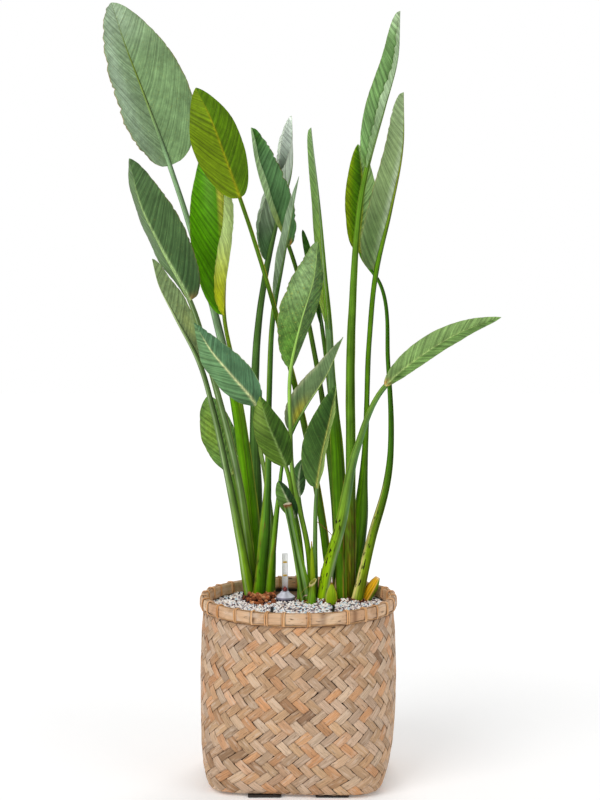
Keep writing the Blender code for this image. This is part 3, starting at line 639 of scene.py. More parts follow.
def make_hoop(name, hoop, bulge, seed, replaces):
    """A hoop whose edges wander a little, with a bamboo joint here and there, and painted light and shade."""
    inside, outside, low, high = hoop
    is_inner = hoop is INNER_HOOP
    section = hoop_section(inside, outside, low, high, bulge)
    if is_inner:
        section = (section * (-1, 1) + (inside + outside, 0))[::-1]
    radius, level = section.T
    outer = np.sign(radius - (inside + outside) / 2)
    up = (level - low) / (high - low)
    share = np.linspace(0, 1, HOOP_SIDES + 1)[:, None]
    grain = stacked(share * math.tau * outside, level * 0.6, float(seed))
    share = share % 1
    angle = math.tau * share + math.pi / 2
    places = np.random.default_rng(seed).random(HOOP_JOINTS) + np.arange(HOOP_JOINTS)
    gap = (share * HOOP_JOINTS - places + HOOP_JOINTS / 2) % HOOP_JOINTS - HOOP_JOINTS / 2
    joint = bell(gap * 22, 0, 1).max(1, keepdims=True)
    skin = 0.45 * MM * wobble(seed, share, 14) + joint * 0.7 * MM * outer
    radius = radius + skin + 0.35 * MM * outer * wobble(seed + 9, share + up * 0.02, 60)
    edge = np.where(up < 0.3, 1.1 * MM * wobble(seed + 1, share, 22), 0.5 * MM * wobble(seed + 2, share, 24))
    tone = mix(srgb("cda27c"), srgb("e0bd98"), 0.5 + 0.5 * wobble(seed + 3, share, 18)[..., None])
    worn = wobble(seed + 4, share + up * 0.012, 34) + wobble(seed + 5, share - up * 0.02, 70) - 0.55
    tone = tint(tone, "7a5230", np.clip(0.75 * joint + 0.3 * np.clip(worn, 0, 1), 0, 0.85))
    # Painted shade along the band's lower edge.
    dark = np.where(level < low + 1.6 * MM, 0.4, 1.0)
    if is_inner:
        # The inner hoop's back is painted lighter as painted light, with painted shade over its lowest part.
        at_back = smooth(0.8, 0.95, np.sin(angle))
        in_shade = at_back * smooth(low + 6 * MM, low + 2 * MM, level)
        dark = dark * mix(1.0, 0.12, in_shade) * (1 + 0.45 * at_back)
    else:
        # Painted shade beside each lashing.
        lashings = np.array([place for place, _ in LASHINGS])
        away = np.abs((np.degrees(angle) + 90 - lashings + 180) % 360 - 180).min(1, keepdims=True) * 3.2 * MM
        dark = dark * (1 - 0.5 * smooth(5.2 * MM, 3.0 * MM, away))
    rings = stacked(radius * np.cos(angle), radius * np.sin(angle), level + edge)
    builder = Builder()
    ring_body(builder, rings, tone * dark[..., None], grain, caps=False)
    builder.piece(name, ["band"], "bamboo", [replaces])


def strand(builder, path, width, thick, side, paint, seed):
    """A flat strand along a path. side points across it, and it is rounded on its outer face."""
    path = np.asarray(path, float)
    out = unit(np.cross(side, unit(np.gradient(path, axis=0))))
    angles = np.arange(8) * math.tau / 8 + math.tau / 16
    x, y = np.cos(angles) * width / 2, np.sin(angles) * thick / 2
    rings = path[:, None] + x[:, None] * np.array(side) + y[:, None] * out[:, None]
    walked = np.concatenate([[0], np.cumsum(np.linalg.norm(np.diff(path, axis=0), axis=1))])[:, None]
    ring_body(builder, rings, paint, stacked(walked + seed * 0.31, x, float(seed)))


def soft_path(points, count):
    """count places along a smooth curve through the points."""
    place, knots = smooth_curve(np.asarray(points, float))
    return place(np.linspace(0, knots[-1], count))


def add_lashings(builder):
    """The loops of rattan over both hoops, single or doubled."""
    low = OUTER_HOOP[2]
    outline = (
        (0.1745, low + 1.5 * MM), (0.1722, low + 3 * MM), (0.1719, low + 12 * MM), (0.1722, RIM_TOP - 3 * MM),
        (0.1740, RIM_TOP + 0.3 * MM), (0.1790, RIM_TOP + 0.5 * MM), (0.1842, RIM_TOP - 0.1 * MM),
        (0.1861, RIM_TOP - 4 * MM), (0.1866, low + 13 * MM), (0.1862, low + 2 * MM), (0.1846, low - 1.3 * MM),
        (0.1815, low - 1.8 * MM),
    )
    radius, height = np.array(outline).T
    share = np.arange(len(outline)) / len(outline) - 0.5
    draw = np.random.default_rng(31)
    for k, (place, strands) in enumerate(LASHINGS):
        angle = math.radians(place - 90)
        side = (-math.sin(angle), math.cos(angle), 0.0)
        for turn in range(strands):
            width = (draw.uniform(2.5, 3.1) if strands == 2 else draw.uniform(3.6, 4.4)) * MM
            shift = (turn - 0.5) * DOUBLED_PITCH if strands == 2 else 0
            turned = angle + (shift + draw.uniform(-2.2, 2.2) * MM * share) / radius
            points = stacked(radius * np.cos(turned), radius * np.sin(turned), height)
            tone = mix(srgb("d09258"), srgb("e4b27c"), draw.random()) * draw.uniform(0.88, 1.08)
            strand(builder, soft_path(points, 34), width, LASHING_THICK, side, tone, k * 2 + turn)


def make_rattan():
    """The lashings, the strands along the top between them, and the splints under the outer hoop."""
    builder = Builder()
    add_lashings(builder)
    around = np.linspace(0, math.tau, 241)
    angle = around[:, None]
    turns = np.arange(6) * math.tau / 6
    for number, (radius, height) in enumerate(TOP_STRANDS):
        spread = radius + 1.3 * MM * np.cos(turns) + 0.25 * MM * np.sin(angle * 16 + number * 3)
        rings = stacked(spread * np.cos(angle), spread * np.sin(angle), height + 1.1 * MM * np.sin(turns))
        ring_body(builder, rings, srgb("b98d5f"), stacked(angle * radius, turns * 1.2 * MM, 90.0 + number))
    for number, (radius, height, code) in enumerate(SPLINTS):
        wander = 0.7 * wobble(50 + number, around / math.tau, 26) * (1 - np.abs(np.cos(around / 2)) ** 40)
        radius = radius + 0.3 * MM * wander
        turned = around + 0.3 * number
        level = OUTER_HOOP[2] + (height + wander) * MM
        path = stacked(radius * np.cos(turned), radius * np.sin(turned), level)
        strand(builder, path, 1.5 * MM, 1.3 * MM, (0.0, 0.0, 1.0), srgb(code), 60 + number)
    builder.piece("rim_rattan", ["rattan"], "rattan", ["rim_lashing"])


# ---------------------------------------------------------------- feet

FOOT_CORNER = 3 * MM


def make_feet():
    """The four pads under the basket, with their edges rounded off."""
    turns = (np.arange(4)[:, None] + np.linspace(0, 1, 5)).ravel() * math.pi / 2
    signs = np.repeat([(1, 1), (-1, 1), (-1, -1), (1, -1)], 5, axis=0)
    for name in ("foot_front_left", "foot_front_right", "foot_back_left", "foot_back_right"):
        low, high = (np.array(corner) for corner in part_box(name))
        centre, half = (low + high) / 2, (high - low) / 2
        rings = []
        bottom, top = -half[2], half[2]
        for level, inset in ((bottom, 1.2 * MM), (bottom + 0.6 * MM, 0.2 * MM), (0, 0), (top, 0.1 * MM)):
            corners = signs * (half[:2] - FOOT_CORNER)
            rounded = (FOOT_CORNER - inset) * np.column_stack([np.cos(turns), np.sin(turns)])
            rings.append(centre + np.column_stack([corners + rounded, np.full(20, level)]))
        builder = Builder()
        ring_body(builder, rings, srgb("241a14"))
        builder.piece(name + "_pad", ["pad"], "black_plastic", [name])


# ---------------------------------------------------------------- filling

GRAVEL_TOP = 0.321
GRAVEL_RADIUS = 0.1727
STONE_SPACING = 4.3 * MM
STONE_SIZES = (1.6 * MM, 3.0 * MM)
# The gravel's two layers: how high each lies, and its spacing as a part of STONE_SPACING.
STONE_LAYERS = ((0.3 * MM, 1.0), (2.3 * MM, 1.2))
STONE_COLOURS = ("fff8f2", "f8f3f2", "c6e2ee", "b4a6ac", "78676e", "3e3038", "ecd6c6")
STONE_WEIGHTS = (0.38, 0.17, 0.08, 0.09, 0.12, 0.09, 0.07)
GRANULE_SPACING = 6.0 * MM
GRANULE_SIZES = (2.8 * MM, 4.8 * MM)
CLAY_COLOURS = ("d08a5c", "bc7448", "a86038", "884c2a", "dc9e6e")
# (centre, half size at the gravel, half size of the top, height of the top), as in the CAD model.
HEAPS = (
    ((-0.072, 0.081), (0.0275, 0.058), (0.024, 0.045), 0.334),
    ((0.067, 0.081), (0.070, 0.043), (0.067, 0.041), 0.328),
)
# The right heap's granules are smaller and darker than the left one's.
RIGHT_SIZE, RIGHT_TONE = 0.75, 0.55
# The gravel runs up the front of the right heap to here, except between two places across.
COVERED_TO = 0.047
BARE_FROM, BARE_TO = 0.048, 0.082
GAUGE_PLACE = (-0.026, 0.072)
COLLAR_RADIUS = 18 * MM
# Behind the gauge the sheet is bare and lies in the shade of the rim.
SHADED_FROM = 0.09
SHADED_LEFT, SHADED_RIGHT = -0.052, 0.03
# Each seam in the gravel: where it starts at the front, and where it ends.
SEAMS = (((-0.0495, -0.172), (-0.0495, 0.01)), ((0.064, -0.172), (0.067, 0.047)))
SEAM_HALF = 4.4 * MM


def icosahedron():
    g = (1 + 5**0.5) / 2
    points = [(-1, g, 0), (1, g, 0), (-1, -g, 0), (1, -g, 0), (0, -1, g), (0, 1, g)]
    points += [(0, -1, -g), (0, 1, -g), (g, 0, -1), (g, 0, 1), (-g, 0, -1), (-g, 0, 1)]
    points = unit(np.array(points, float))
    faces = []
    for a, b, c in itertools.combinations(range(12), 3):
        if max(np.linalg.norm(points[i] - points[j]) for i, j in ((a, b), (b, c), (a, c))) < 1.1:
            outward = np.dot(np.cross(points[b] - points[a], points[c] - points[a]), points[a]) > 0
            faces.append([a, b, c] if outward else [a, c, b])
    return points, faces


def divided(points, faces):
    """Each triangle cut in four, on the unit sphere."""
    points, made, middle = list(points), [], {}

    def half_way(a, b):
        key = (min(a, b), max(a, b))
        if key not in middle:
            middle[key] = len(points)
            points.append(unit(points[a] + points[b]))
        return middle[key]

    for a, b, c in faces:
        ab, bc, ca = half_way(a, b), half_way(b, c), half_way(c, a)
        made += [[a, ab, ca], [b, bc, ab], [c, ca, bc], [ab, bc, ca]]
    return np.array(points), made


def turn_matrix(draw):
    """A random rotation."""
    q, r = np.linalg.qr(draw.normal(size=(3, 3)))
    return q * np.sign(np.diag(r))


def scattered(draw, spacing, reach):
    """Places on a loose triangular grid, each moved a little."""
    rows = int(reach / spacing / 0.87) + 1
    row, column = np.mgrid[-rows : rows + 1, -rows : rows + 1].reshape(2, -1)
    places = np.column_stack([(column + 0.5 * (row % 2)) * spacing, row * spacing * 0.87])
    return places + draw.uniform(-0.38, 0.38, places.shape) * spacing


def in_heap(x, y, heap):
    """Below 1 on the heap, and above 1 beside it."""
    (centre_x, centre_y), (half_x, half_y) = heap[:2]
    return (abs((x - centre_x) / half_x) ** 2.5 + abs((y - centre_y) / half_y) ** 2.5) ** 0.4


def seam_line(seam, t):
    """A place along a seam, which wanders a little."""
    (x0, y0), (x1, y1) = seam
    y = mix(y0, y1, t)
    return mix(x0, x1, t) + 1.2 * MM * np.sin(y * 260), y


def near_seam(x, y):
    for seam in SEAMS:
        t = (y - seam[0][1]) / (seam[1][1] - seam[0][1])
        if 0 <= t <= 1 and abs(x - seam_line(seam, t)[0]) < SEAM_HALF:
            return True
    return False


def near_gauge(x, y, gap):
    return math.hypot(x - GAUGE_PLACE[0], y - GAUGE_PLACE[1]) < COLLAR_RADIUS + gap


def is_gravel(x, y):
    """Whether gravel lies here, and not clay, a seam, the gauge or the bare sheet behind it."""
    if math.hypot(x, y) > GRAVEL_RADIUS or near_seam(x, y) or near_gauge(x, y, 1.5 * MM):
        return False
    if y > SHADED_FROM and SHADED_LEFT < x < SHADED_RIGHT:
        return False
    if in_heap(x, y, HEAPS[0]) < 0.99:
        return False
    return in_heap(x, y, HEAPS[1]) >= 0.99 or not (y > COVERED_TO or BARE_FROM < x < BARE_TO)


def is_clay(x, y, number):
    """Whether the heap of this number shows here."""
    outside = in_heap(x, y, HEAPS[number]) > 1.1 or math.hypot(x, y) > GRAVEL_RADIUS - 3 * MM
    if outside or near_gauge(x, y, 2 * MM):
        return False
    return number == 0 or y >= COVERED_TO - 2 * MM or BARE_FROM < x < BARE_TO


def ground_level(x, y):
    """How high the filling stands."""
    level = GRAVEL_TOP + 2.5 * MM * smooth(0.15, GRAVEL_RADIUS, math.hypot(x, y))
    rises = [mix(heap[3], GRAVEL_TOP, smooth(0.86, 1.1, in_heap(x, y, heap))) for heap in HEAPS]
    return max(level, *rises)


def make_gravel():
    """The loose stones on top, in two layers, with two narrow dark seams between their sheets."""
    points, faces = icosahedron()
    draw = np.random.default_rng(11)
    builder = Builder()
    for lift, spacing in STONE_LAYERS:
        for x, y in scattered(draw, STONE_SPACING * spacing, GRAVEL_RADIUS):
            if not is_gravel(x, y):
                continue
            size = draw.uniform(*STONE_SIZES)
            shape = points * draw.uniform(0.72, 1.18, (12, 1)) * size * draw.uniform(0.75, 1.25, 3)
            rise = lift + draw.uniform(-0.6, 0.7) * MM + 1.0 * MM * wobble(3, x * 12 + y * 7, 1.0)
            tone = srgb(draw.choice(STONE_COLOURS, p=STONE_WEIGHTS)) * draw.uniform(0.9, 1.12)
            builder.add(shape @ turn_matrix(draw).T + (x, y, ground_level(x, y) + rise), faces, tone)
    for seam in SEAMS:
        x, y = (values[:, None] for values in seam_line(seam, np.linspace(0, 1, 30)))
        across = np.array([-1, 1, 1, -1]) * SEAM_HALF * 0.8
        level = GRAVEL_TOP + np.array([0.3, 0.3, 0.7, 0.7]) * MM
        ring_body(builder, stacked(x + across, y, level), srgb("0a0606"))
    builder.piece("gravel_stones", ["stone"], "gravel", flat=True)


def make_clay():
    """The clay granules heaped round the stalks."""
    points, faces = divided(*icosahedron())
    draw = np.random.default_rng(17)
    for number, name in enumerate(("clay_left", "clay_right")):
        builder = Builder()
        centre, half = HEAPS[number][:2]
        for x, y in scattered(draw, GRANULE_SPACING, max(half) * 1.25) + centre:
            if not is_clay(x, y, number):
                continue
            size = draw.uniform(*GRANULE_SIZES) * (RIGHT_SIZE if number else 1)
            rough = 1 + 0.07 * np.sin(points @ draw.normal(0, 3, (3, 3))).sum(1)
            shape = points * rough[:, None] * size * draw.uniform(0.75, 1.15, 3)
            rise = draw.uniform(-1.0, 1.6) + (0 if number else draw.uniform(1.5, 5.0))
            tone = srgb(draw.choice(CLAY_COLOURS)) * draw.uniform(0.8, 1.25) * (RIGHT_TONE if number else 1)
            turned = turn_matrix(draw)
            # Each granule is painted lighter on top and darker underneath: painted light and shade.
            shade = mix(0.35, 1.12, smooth(-0.6, 0.7, (points @ turned.T)[:, 2:]))
            builder.add(shape @ turned.T + (x, y, ground_level(x, y) + rise * MM), faces, tone * shade)
        builder.piece(name, ["clay"], "clay_granules")


# ---------------------------------------------------------------- water gauge

# The collar's section in millimetres, (radius, height) from its foot, with the colour at each point.
# The flange's lower side is painted shadow, and its upper side and the bore painted half shade.
COLLAR_SHADOW, COLLAR_HALF_SHADE, COLLAR_PALE = "382c40", "8a8698", "d8d8e6"
COLLAR = (
    (8.4, 0.0, COLLAR_SHADOW), (18.4, 0.0, COLLAR_SHADOW), (19.4, 0.7, COLLAR_SHADOW), (19.4, 5.6, COLLAR_SHADOW),
    (19.4, 6.2, COLLAR_HALF_SHADE), (19.4, 9.0, COLLAR_HALF_SHADE), (18.8, 9.8, COLLAR_PALE), (17.6, 10.6, COLLAR_PALE),
    (13.9, 13.2, COLLAR_PALE), (10.4, 15.8, COLLAR_PALE), (8.6, 17.8, COLLAR_PALE), (7.6, 19.4, COLLAR_PALE),
    (7.0, 20.0, COLLAR_PALE), (4.9, 20.0, COLLAR_PALE), (4.9, 5.6, COLLAR_HALF_SHADE), (8.4, 5.6, COLLAR_HALF_SHADE),
    (8.4, 0.0, COLLAR_SHADOW),
)
TUBE_RADIUS, TUBE_BORE = 6.2, 5.9
TUBE_ROUNDING = 1.2
CARD_RADIUS = 5.8 * MM
# Each group of marks is at one of these heights: lift, half height and half angle, radius and colour.
MARK_HEIGHTS = (0.3985, 0.3725)
MARKS = ((0, 1.1, 40, 6.4, "e4b428"), (2.1, 0.7, 32, 6.4, "e8cc70"), (0, 0.35, 14, 6.55, "b08820"))
# The float in millimetres: its head from its top down, and its bulb from its foot up.
FLOAT_HEAD = (
    (0.2, 0), (0.9, -0.1), (1.1, -2.2), (3.2, -2.5), (3.6, -3.2), (3.6, -8.0), (3.0, -9.0), (1.0, -9.2),
)
FLOAT_BULB = ((0.2, 0), (4.2, 0), (5.2, 2), (5.2, 36), (4.4, 39), (1.0, 41))


def curved_plate(builder, low, high, radius, span, thick, colour):
    """A plate bent round the tube's axis. span is its angles from the right, seen from above."""
    angles = np.radians(np.linspace(*span, 13))
    rim = np.column_stack([np.cos(angles), np.sin(angles)])
    flat = np.concatenate([rim * (radius - thick), rim[::-1] * radius]) + GAUGE_PLACE
    rings = [np.column_stack([flat, np.full(len(flat), height)]) for height in (high, low)]
    ring_body(builder, rings, srgb(colour))


def make_gauge():
    """The collar, the clear tube with its card and marks, and the float."""
    turns = np.arange(64) * math.tau / 64
    # A painted sheen, lighter and darker round the collar.
    sheen = 1 + 0.16 * np.cos(turns * 3 + 0.6) + 0.1 * np.cos(turns * 7)
    foot = GRAVEL_TOP + 0.3 * MM
    builder = Builder()
    outline = [(r * MM, foot + z * MM) for r, z, _ in COLLAR]
    lathe(builder, outline, GAUGE_PLACE, [np.outer(sheen, srgb(code)) for _, _, code in COLLAR])
    builder.piece("gauge_cone", ["frosted"], "clear_plastic", ["gauge_collar"])

    base, top = (corner.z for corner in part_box("gauge_tube"))
    rise = (top - base) / MM
    shoulder = [
        (TUBE_RADIUS - TUBE_ROUNDING * (1 - math.cos(a)), rise - TUBE_ROUNDING * (1 - math.sin(a)))
        for a in np.linspace(0, math.pi / 2, 5)
    ]
    inside = [(0.01, rise), (0.01, rise - 1.0), (5.4, rise - 1.0), (TUBE_BORE, rise - 1.4), (TUBE_BORE, 0)]
    outline = [(r * MM, base + z * MM) for r, z in [(TUBE_BORE, 0), (TUBE_RADIUS, 0), *shoulder, *inside]]
    builder = Builder()
    lathe(builder, outline, GAUGE_PLACE, srgb("e6e8f2"), 48)
    builder.piece("gauge_glass", ["clear"], "clear_plastic", ["gauge_tube"])

    builder = Builder()
    curved_plate(builder, base, top - 2 * MM, CARD_RADIUS, (0, 180), 0.35 * MM, "ffffff")
    for height, (lift, half, turn, radius, code) in itertools.product(MARK_HEIGHTS, MARKS):
        low, high = height + (lift - half) * MM, height + (lift + half) * MM
        curved_plate(builder, low, high, radius * MM, (-90 - turn, -90 + turn), 0.25 * MM, code)
    builder.piece("gauge_scale", ["card"], "clear_plastic")

    bottom, top = (corner.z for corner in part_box("gauge_float"))
    outline = [(r * MM, bottom + z * MM) for r, z in FLOAT_BULB]
    outline += [(r * MM, top + z * MM) for r, z in FLOAT_HEAD[::-1]]
    builder = Builder()
    lathe(builder, outline, GAUGE_PLACE, srgb("a82808"), 40)
    builder.piece("float_rod", ["float"], "red_plastic", ["gauge_float"], body="float")


# ---------------------------------------------------------------- plant

# the pale bands towards the left are painted highlights, and the dark green bands painted shade
# Each leaf, in centimetres and degrees, much as in the CAD model.
# Its stalk:
#   foot         its place and half width where it leaves the clay
#   flare        how much wider it is at the clay, and how far up this reaches
#   neck, taper  its half width at the blade; a taper over 1 keeps the foot's width for longer
#   sheath       where its sheath is widest: the height, the half width there, and the reach
#   stalk        the points that it runs through
#   stalk_paint  its colours at the foot and at the blade; change is where they meet, in metres
#   stripes      bands of colour along it: place from -1, its left, to 1, its right, reach, colour, strength
#   mottle       brown clouds: bottom and top height, colour, strength
#   spots        dark spots: bottom and top height, strength
#   seam         its sheath's papery margin: top and bottom height, the angles round the stalk there, colour,
#                and at times how wide it has grown at its bottom, in radians
# Its blade:
#   blade        the points that its midrib runs through
#   half, belly  the half widths left and right, and where along the blade it is widest
#   blunt, tip   how blunt its base and its end are
#   fold, curl   how far each half leans to the front at the midrib, and how much further at its margin.
#                A fold of three numbers is for the blade's base, middle and tip.
#   roll         how much of the curl is near the margin, from 1, even, upwards
#   under        the leaf's under side faces the front
#   wave, bites  the margins' waves, and how deep the left and right margins are torn, both in millimetres
#   paint        the colours of the left half, the right half, the midrib and the margin
#   back         the colours of the side that faces away, at the blade's base and from its middle on
#   blotch       how blotched it is
#   patches      clouds of another colour: place across and along, size across and along, colour, strength
# some pale ones are painted sheen and highlights
LEAVES = {
    "left_leaf_1": dict(
        foot=(-9.2, 7.3, 0.9), flare=(0.25, 7), neck=0.5, stalk=((-13.6, 4.2, 57.5), (-16.2, 3.0, 69.9)),
        blade=((-18.5, 2.0, 78.4), (-23.6, 1.0, 88.5), (-26.4, 1.2, 94.2), (-27.5, 2.0, 98.6)),
        half=(3.0, 3.5), belly=0.5, tip=0.6, fold=(-150, 10), curl=(0, 10), under=True, wave=1.5,
        bites=(0, 1), paint=("5c7641", "6f8456", "96a873", "8c8050"), blotch=0.5,
        stalk_paint=("6c9408", "5e7842"), stripes=((-0.5, 0.16, "a8bc90", 0.7), (0.25, 0.2, "3c5c20", 0.5)),
        patches=((0, 0.0, 0.9, 0.06, "c07a34", 1.0), (0.5, 0.35, 0.3, 0.15, "98a050", 0.3)),
    ),
    "left_leaf_2": dict(
        foot=(-8.6, 9.0, 0.9), flare=(0.35, 8), neck=0.5, stalk=((-11.5, 4.6, 56.6), (-16.2, 0.6, 76.7)),
        blade=((-20.2, -2.0, 90.9), (-25.3, -4.0, 100.8), (-29.2, -5.0, 109.2), (-31.2, -4.0, 117.3)),
        half=(4.8, 5.6), belly=0.5, blunt=0.4, tip=0.66, fold=(-62, 5), curl=(-10, -12), wave=2.5,
        bites=(1.5, 1.5), paint=("5e7a4c", "48643a", "9cb878", "8a7448"), stalk_paint=("6c9408", "647e48"),
        stripes=((-0.4, 0.12, "b0c49c", 0.8), (0.1, 0.2, "3c6020", 0.5)),
        patches=((0.5, 0.1, 0.5, 0.25, "34522c", 0.6), (-0.5, 0.0, 1.2, 0.035, "8a5c34", 0.9)),
    ),
    "left_leaf_3": dict(
        foot=(-8.8, 10.8, 0.9), neck=0.5, taper=2.0, sheath=(60, 1.25, 9),
        stalk=((-11.0, 12.6, 62.9), (-16.6, 16.0, 88.4)),
        blade=((-24.9, 16.0, 116.0), (-30.4, 15.0, 131.4), (-33.4, 15.0, 139.4), (-36.0, 16.5, 147.2)),
        half=(7.3, 8.8), belly=0.38, blunt=0.42, tip=0.6, fold=(45, 0), curl=(0, -12), under=True, wave=2.5,
        bites=(5.0, 1.0), paint=("809a72", "789666", "6e8232", "a08c58"), blotch=0.4,
        stalk_paint=("588a04", "7c9a72"), change=(0.70, 0.84),
        # Both pale patches are painted sheen.
        patches=((-0.1, 0.98, 1.2, 0.2, "a6bc9e", 0.7), (-0.75, 0.55, 0.3, 0.5, "a8bea4", 0.6)),
    ),
    "left_leaf_4": dict(
        foot=(-7.1, 10.2, 0.9), neck=0.4, stalk=((-9.2, 9.2, 56.0), (-12.0, 7.4, 76.0)),
        blade=((-14.1, 5.0, 87.7), (-13.7, 4.0, 100.0), (-14.5, 4.2, 112.0), (-16.9, 6.5, 121.0)),
        half=(6.8, 5.4), belly=0.5, tip=0.7, fold=(0, (85, -2, -48)), curl=(-8, 200), wave=2.0,
        bites=(0.5, 4.0), paint=("569a02", "549408", "d8cc50", "b8b058"), back=("c4cc1c", "b4c880"),
        stalk_paint=("4a7804", "708c20"), change=(0.62, 0.78), stripes=((0.95, 0.2, "a0ac30", 0.6),),
        patches=(
            (0.85, 0.1, 0.6, 0.3, "9cb412", 0.8), (-0.09, 0.7, 0.05, 0.22, "d8cc50", 1),
            # A painted highlight on the left half, near the tip.
            (-0.4, 0.8, 0.2, 0.2, "7cae48", 0.5),
        ),
    ),
    "left_leaf_5": dict(
        foot=(-7.6, 12.0, 1.1), neck=0.6, taper=1.4, sheath=(52, 1.25, 9),
        stalk=((-8.5, 13.0, 62.0), (-7.9, 13.0, 84.0)),
        blade=((-5.9, 13.0, 97.6), (-4.2, 13.0, 105.0), (-1.3, 14.0, 115.5), (-1.4, 15.0, 125.6)),
        half=(6.9, 4.6), belly=0.36, tip=0.68, fold=(8, (140, 130, 60)), curl=(150, 20), roll=(2.4, 1),
        under=True, wave=4.0, bites=(3.0, 3.5), paint=("5f7c52", "6a8a62", "88a070", "8a5c30"),
        back=("54784c", "d0dccc"), stalk_paint=("467003", "4c6e30"),
        patches=((0, 1.0, 2.2, 0.4, "f0f8f0", 1.0), (0.2, 0.5, 0.5, 0.3, "48684a", 0.5)),
    ),
    "left_leaf_6": dict(
        foot=(-7.7, 6.1, 0.95), flare=(0.25, 6), neck=0.5, taper=0.6, sheath=(44, 1.1, 7),
        stalk=((-5.9, 5.8, 55.0), (-5.6, 5.6, 72.0)),
        blade=((-4.4, 5.4, 90.6), (-3.1, 4.6, 97.0), (-1.2, 4.4, 107.0), (0.1, 5.0, 114.0)),
        half=(3.0, 2.8), belly=0.4, tip=0.9, fold=(60, -110), under=True, wave=1.0, bites=(0.5, 0.5),
        paint=("9ab290", "849f70", "90a870", "8c8a58"), stalk_paint=("4c7e06", "4e7430"),
        stripes=((-0.75, 0.18, "8aa018", 0.6), (0.25, 0.45, "2c5a00", 0.5)), spots=(33, 45, 0.6),
        seam=(52.0, 36.5, 75, 160, "7c5a28", 0.04),
    ),
    "left_leaf_7": dict(
        foot=(-6.0, 7.2, 0.9), flare=(0.25, 6), neck=0.3, taper=0.75,
        stalk=((-3.9, 5.8, 52.0), (-2.8, 4.6, 60.5)),
        blade=((-1.2, 3.0, 65.6), (1.6, 0.8, 71.0), (5.4, -0.4, 77.0), (8.4, 0.0, 84.0)), half=(3.9, 2.8),
        belly=0.34, tip=0.95, fold=(12, -125), curl=(8, 0), under=True, wave=1.5, bites=(1.0, 0.5),
        paint=("678054", "547044", "98a868", "a09458"), stalk_paint=("6c9c0a", "4c7a20"),
        stripes=((-0.5, 0.15, "a8cc68", 0.6), (0.6, 0.3, "2c5c00", 0.6)),
        seam=(44.0, 36.0, 60, 150, "8c6430"),
        patches=((-0.2, 0.2, 0.25, 0.14, "b4b03c", 0.9), (-0.95, 0.4, 0.12, 0.7, "a8b088", 0.6)),
    ),
    "left_leaf_8": dict(
        foot=(-9.7, 12.2, 0.55), neck=0.35, stalk=((-10.8, 14.4, 44.0), (-11.9, 15.0, 51.0)),
        blade=((-13.0, 15.1, 55.6), (-14.8, 15.0, 61.4), (-16.5, 15.4, 66.8), (-17.7, 16.6, 71.2)),
        half=(3.6, 3.2), belly=0.52, blunt=0.7, tip=0.6, fold=(-8, -8), wave=4.0, bites=(0.8, 0.8),
        paint=("5d8340", "5a8040", "8cae5c", "a08a3c"), blotch=0.6, stalk_paint=("568006", "5c8230"),
        patches=((-0.4, 0.6, 0.6, 0.3, "86a83c", 0.7), (-0.3, 0.0, 0.9, 0.05, "b8742c", 0.9)),
    ),
    "left_leaf_9": dict(
        foot=(-5.6, 8.8, 0.6), flare=(0.5, 10), neck=0.35,
        stalk=((-5.2, 8.0, 46.0), (-6.3, 7.9, 56.0), (-7.3, 4.8, 62.5), (-7.3, 1.0, 67.0)),
        blade=((-7.9, -2.6, 71.2), (-12.4, -4.6, 77.2), (-16.0, -4.6, 81.5), (-19.4, -3.0, 86.9)),
        half=(3.5, 3.7), belly=0.36, tip=0.9, fold=(-12, 5), curl=(-10, 0), wave=4.0, bites=(0.3, 1.8),
        paint=("5c8456", "4d7350", "ccd498", "9aa868"), stalk_paint=("5a8206", "7c9c44"),
        stripes=((-0.5, 0.16, "b0cc80", 0.7), (0.1, 0.12, "b8d090", 0.4)),
        patches=((-0.6, 0.8, 0.6, 0.4, "6e9464", 0.5), (0.0, 0.02, 0.16, 0.08, "b8c878", 0.6)),
    ),
    "middle_leaf_1": dict(
        foot=(1.2, 7.6, 0.55), neck=0.4, stalk=((0.0, 6.0, 46.0), (-1.0, 4.6, 51.5), (-1.5, 2.5, 55.6)),
        blade=((-2.3, -0.6, 59.4), (-4.3, -3.2, 64.6), (-6.1, -4.8, 69.2), (-7.1, -5.2, 73.4)),
        half=(3.4, 3.0), belly=0.42, tip=0.8, fold=(-10, 0), curl=(-10, -10), wave=2.5, bites=(1.0, 0.6),
        paint=("567626", "3a5a1a", "7c9a50", "8c8440"), stalk_paint=("649006", "6a9030"),
        patches=((0.3, 0.45, 0.35, 0.35, "2e4c16", 0.6), (-0.5, 0.8, 0.5, 0.2, "84a048", 0.6)),
    ),
    "middle_leaf_2": dict(
        foot=(2.6, 7.3, 0.55), neck=0.38,
        stalk=((1.6, 6.9, 44.0), (0.4, 6.1, 49.5), (-1.1, 3.4, 57.5), (-1.5, -0.6, 66.5)),
        blade=((-1.4, -4.0, 78.4), (0.6, -5.0, 87.4), (2.9, -5.0, 95.4), (3.6, -2.6, 102.0)),
        half=(4.7, 3.8), belly=0.45, tip=0.6, fold=(-8, -58), curl=(-10, 0), under=True, wave=3.5,
        bites=(2.5, 0.6), paint=("587a38", "4a6c30", "88a85c", "90904c"), blotch=1.0,
        stalk_paint=("80ac14", "80a848"),
        patches=((-0.5, 0.75, 0.6, 0.3, "8aa870", 0.7), (-0.4, 0.15, 0.6, 0.2, "4e7c24", 0.6)),
    ),
    "middle_leaf_3": dict(
        foot=(3.2, 8.5, 0.4), neck=0.25, stalk=((1.9, 8.8, 43.0), (0.7, 9.2, 49.0)),
        blade=((0.2, 9.0, 52.3), (0.0, 9.1, 54.8), (0.2, 9.4, 57.2), (0.8, 9.9, 59.6)), half=(1.5, 1.4),
        belly=0.4, tip=0.7, fold=(-5, 10), wave=2.5, bites=(0.4, 0.4),
        paint=("50763e", "3c5c30", "b8c8a0", "84843c"), stalk_paint=("66962a", "628c3a"),
    ),
    "middle_leaf_4": dict(
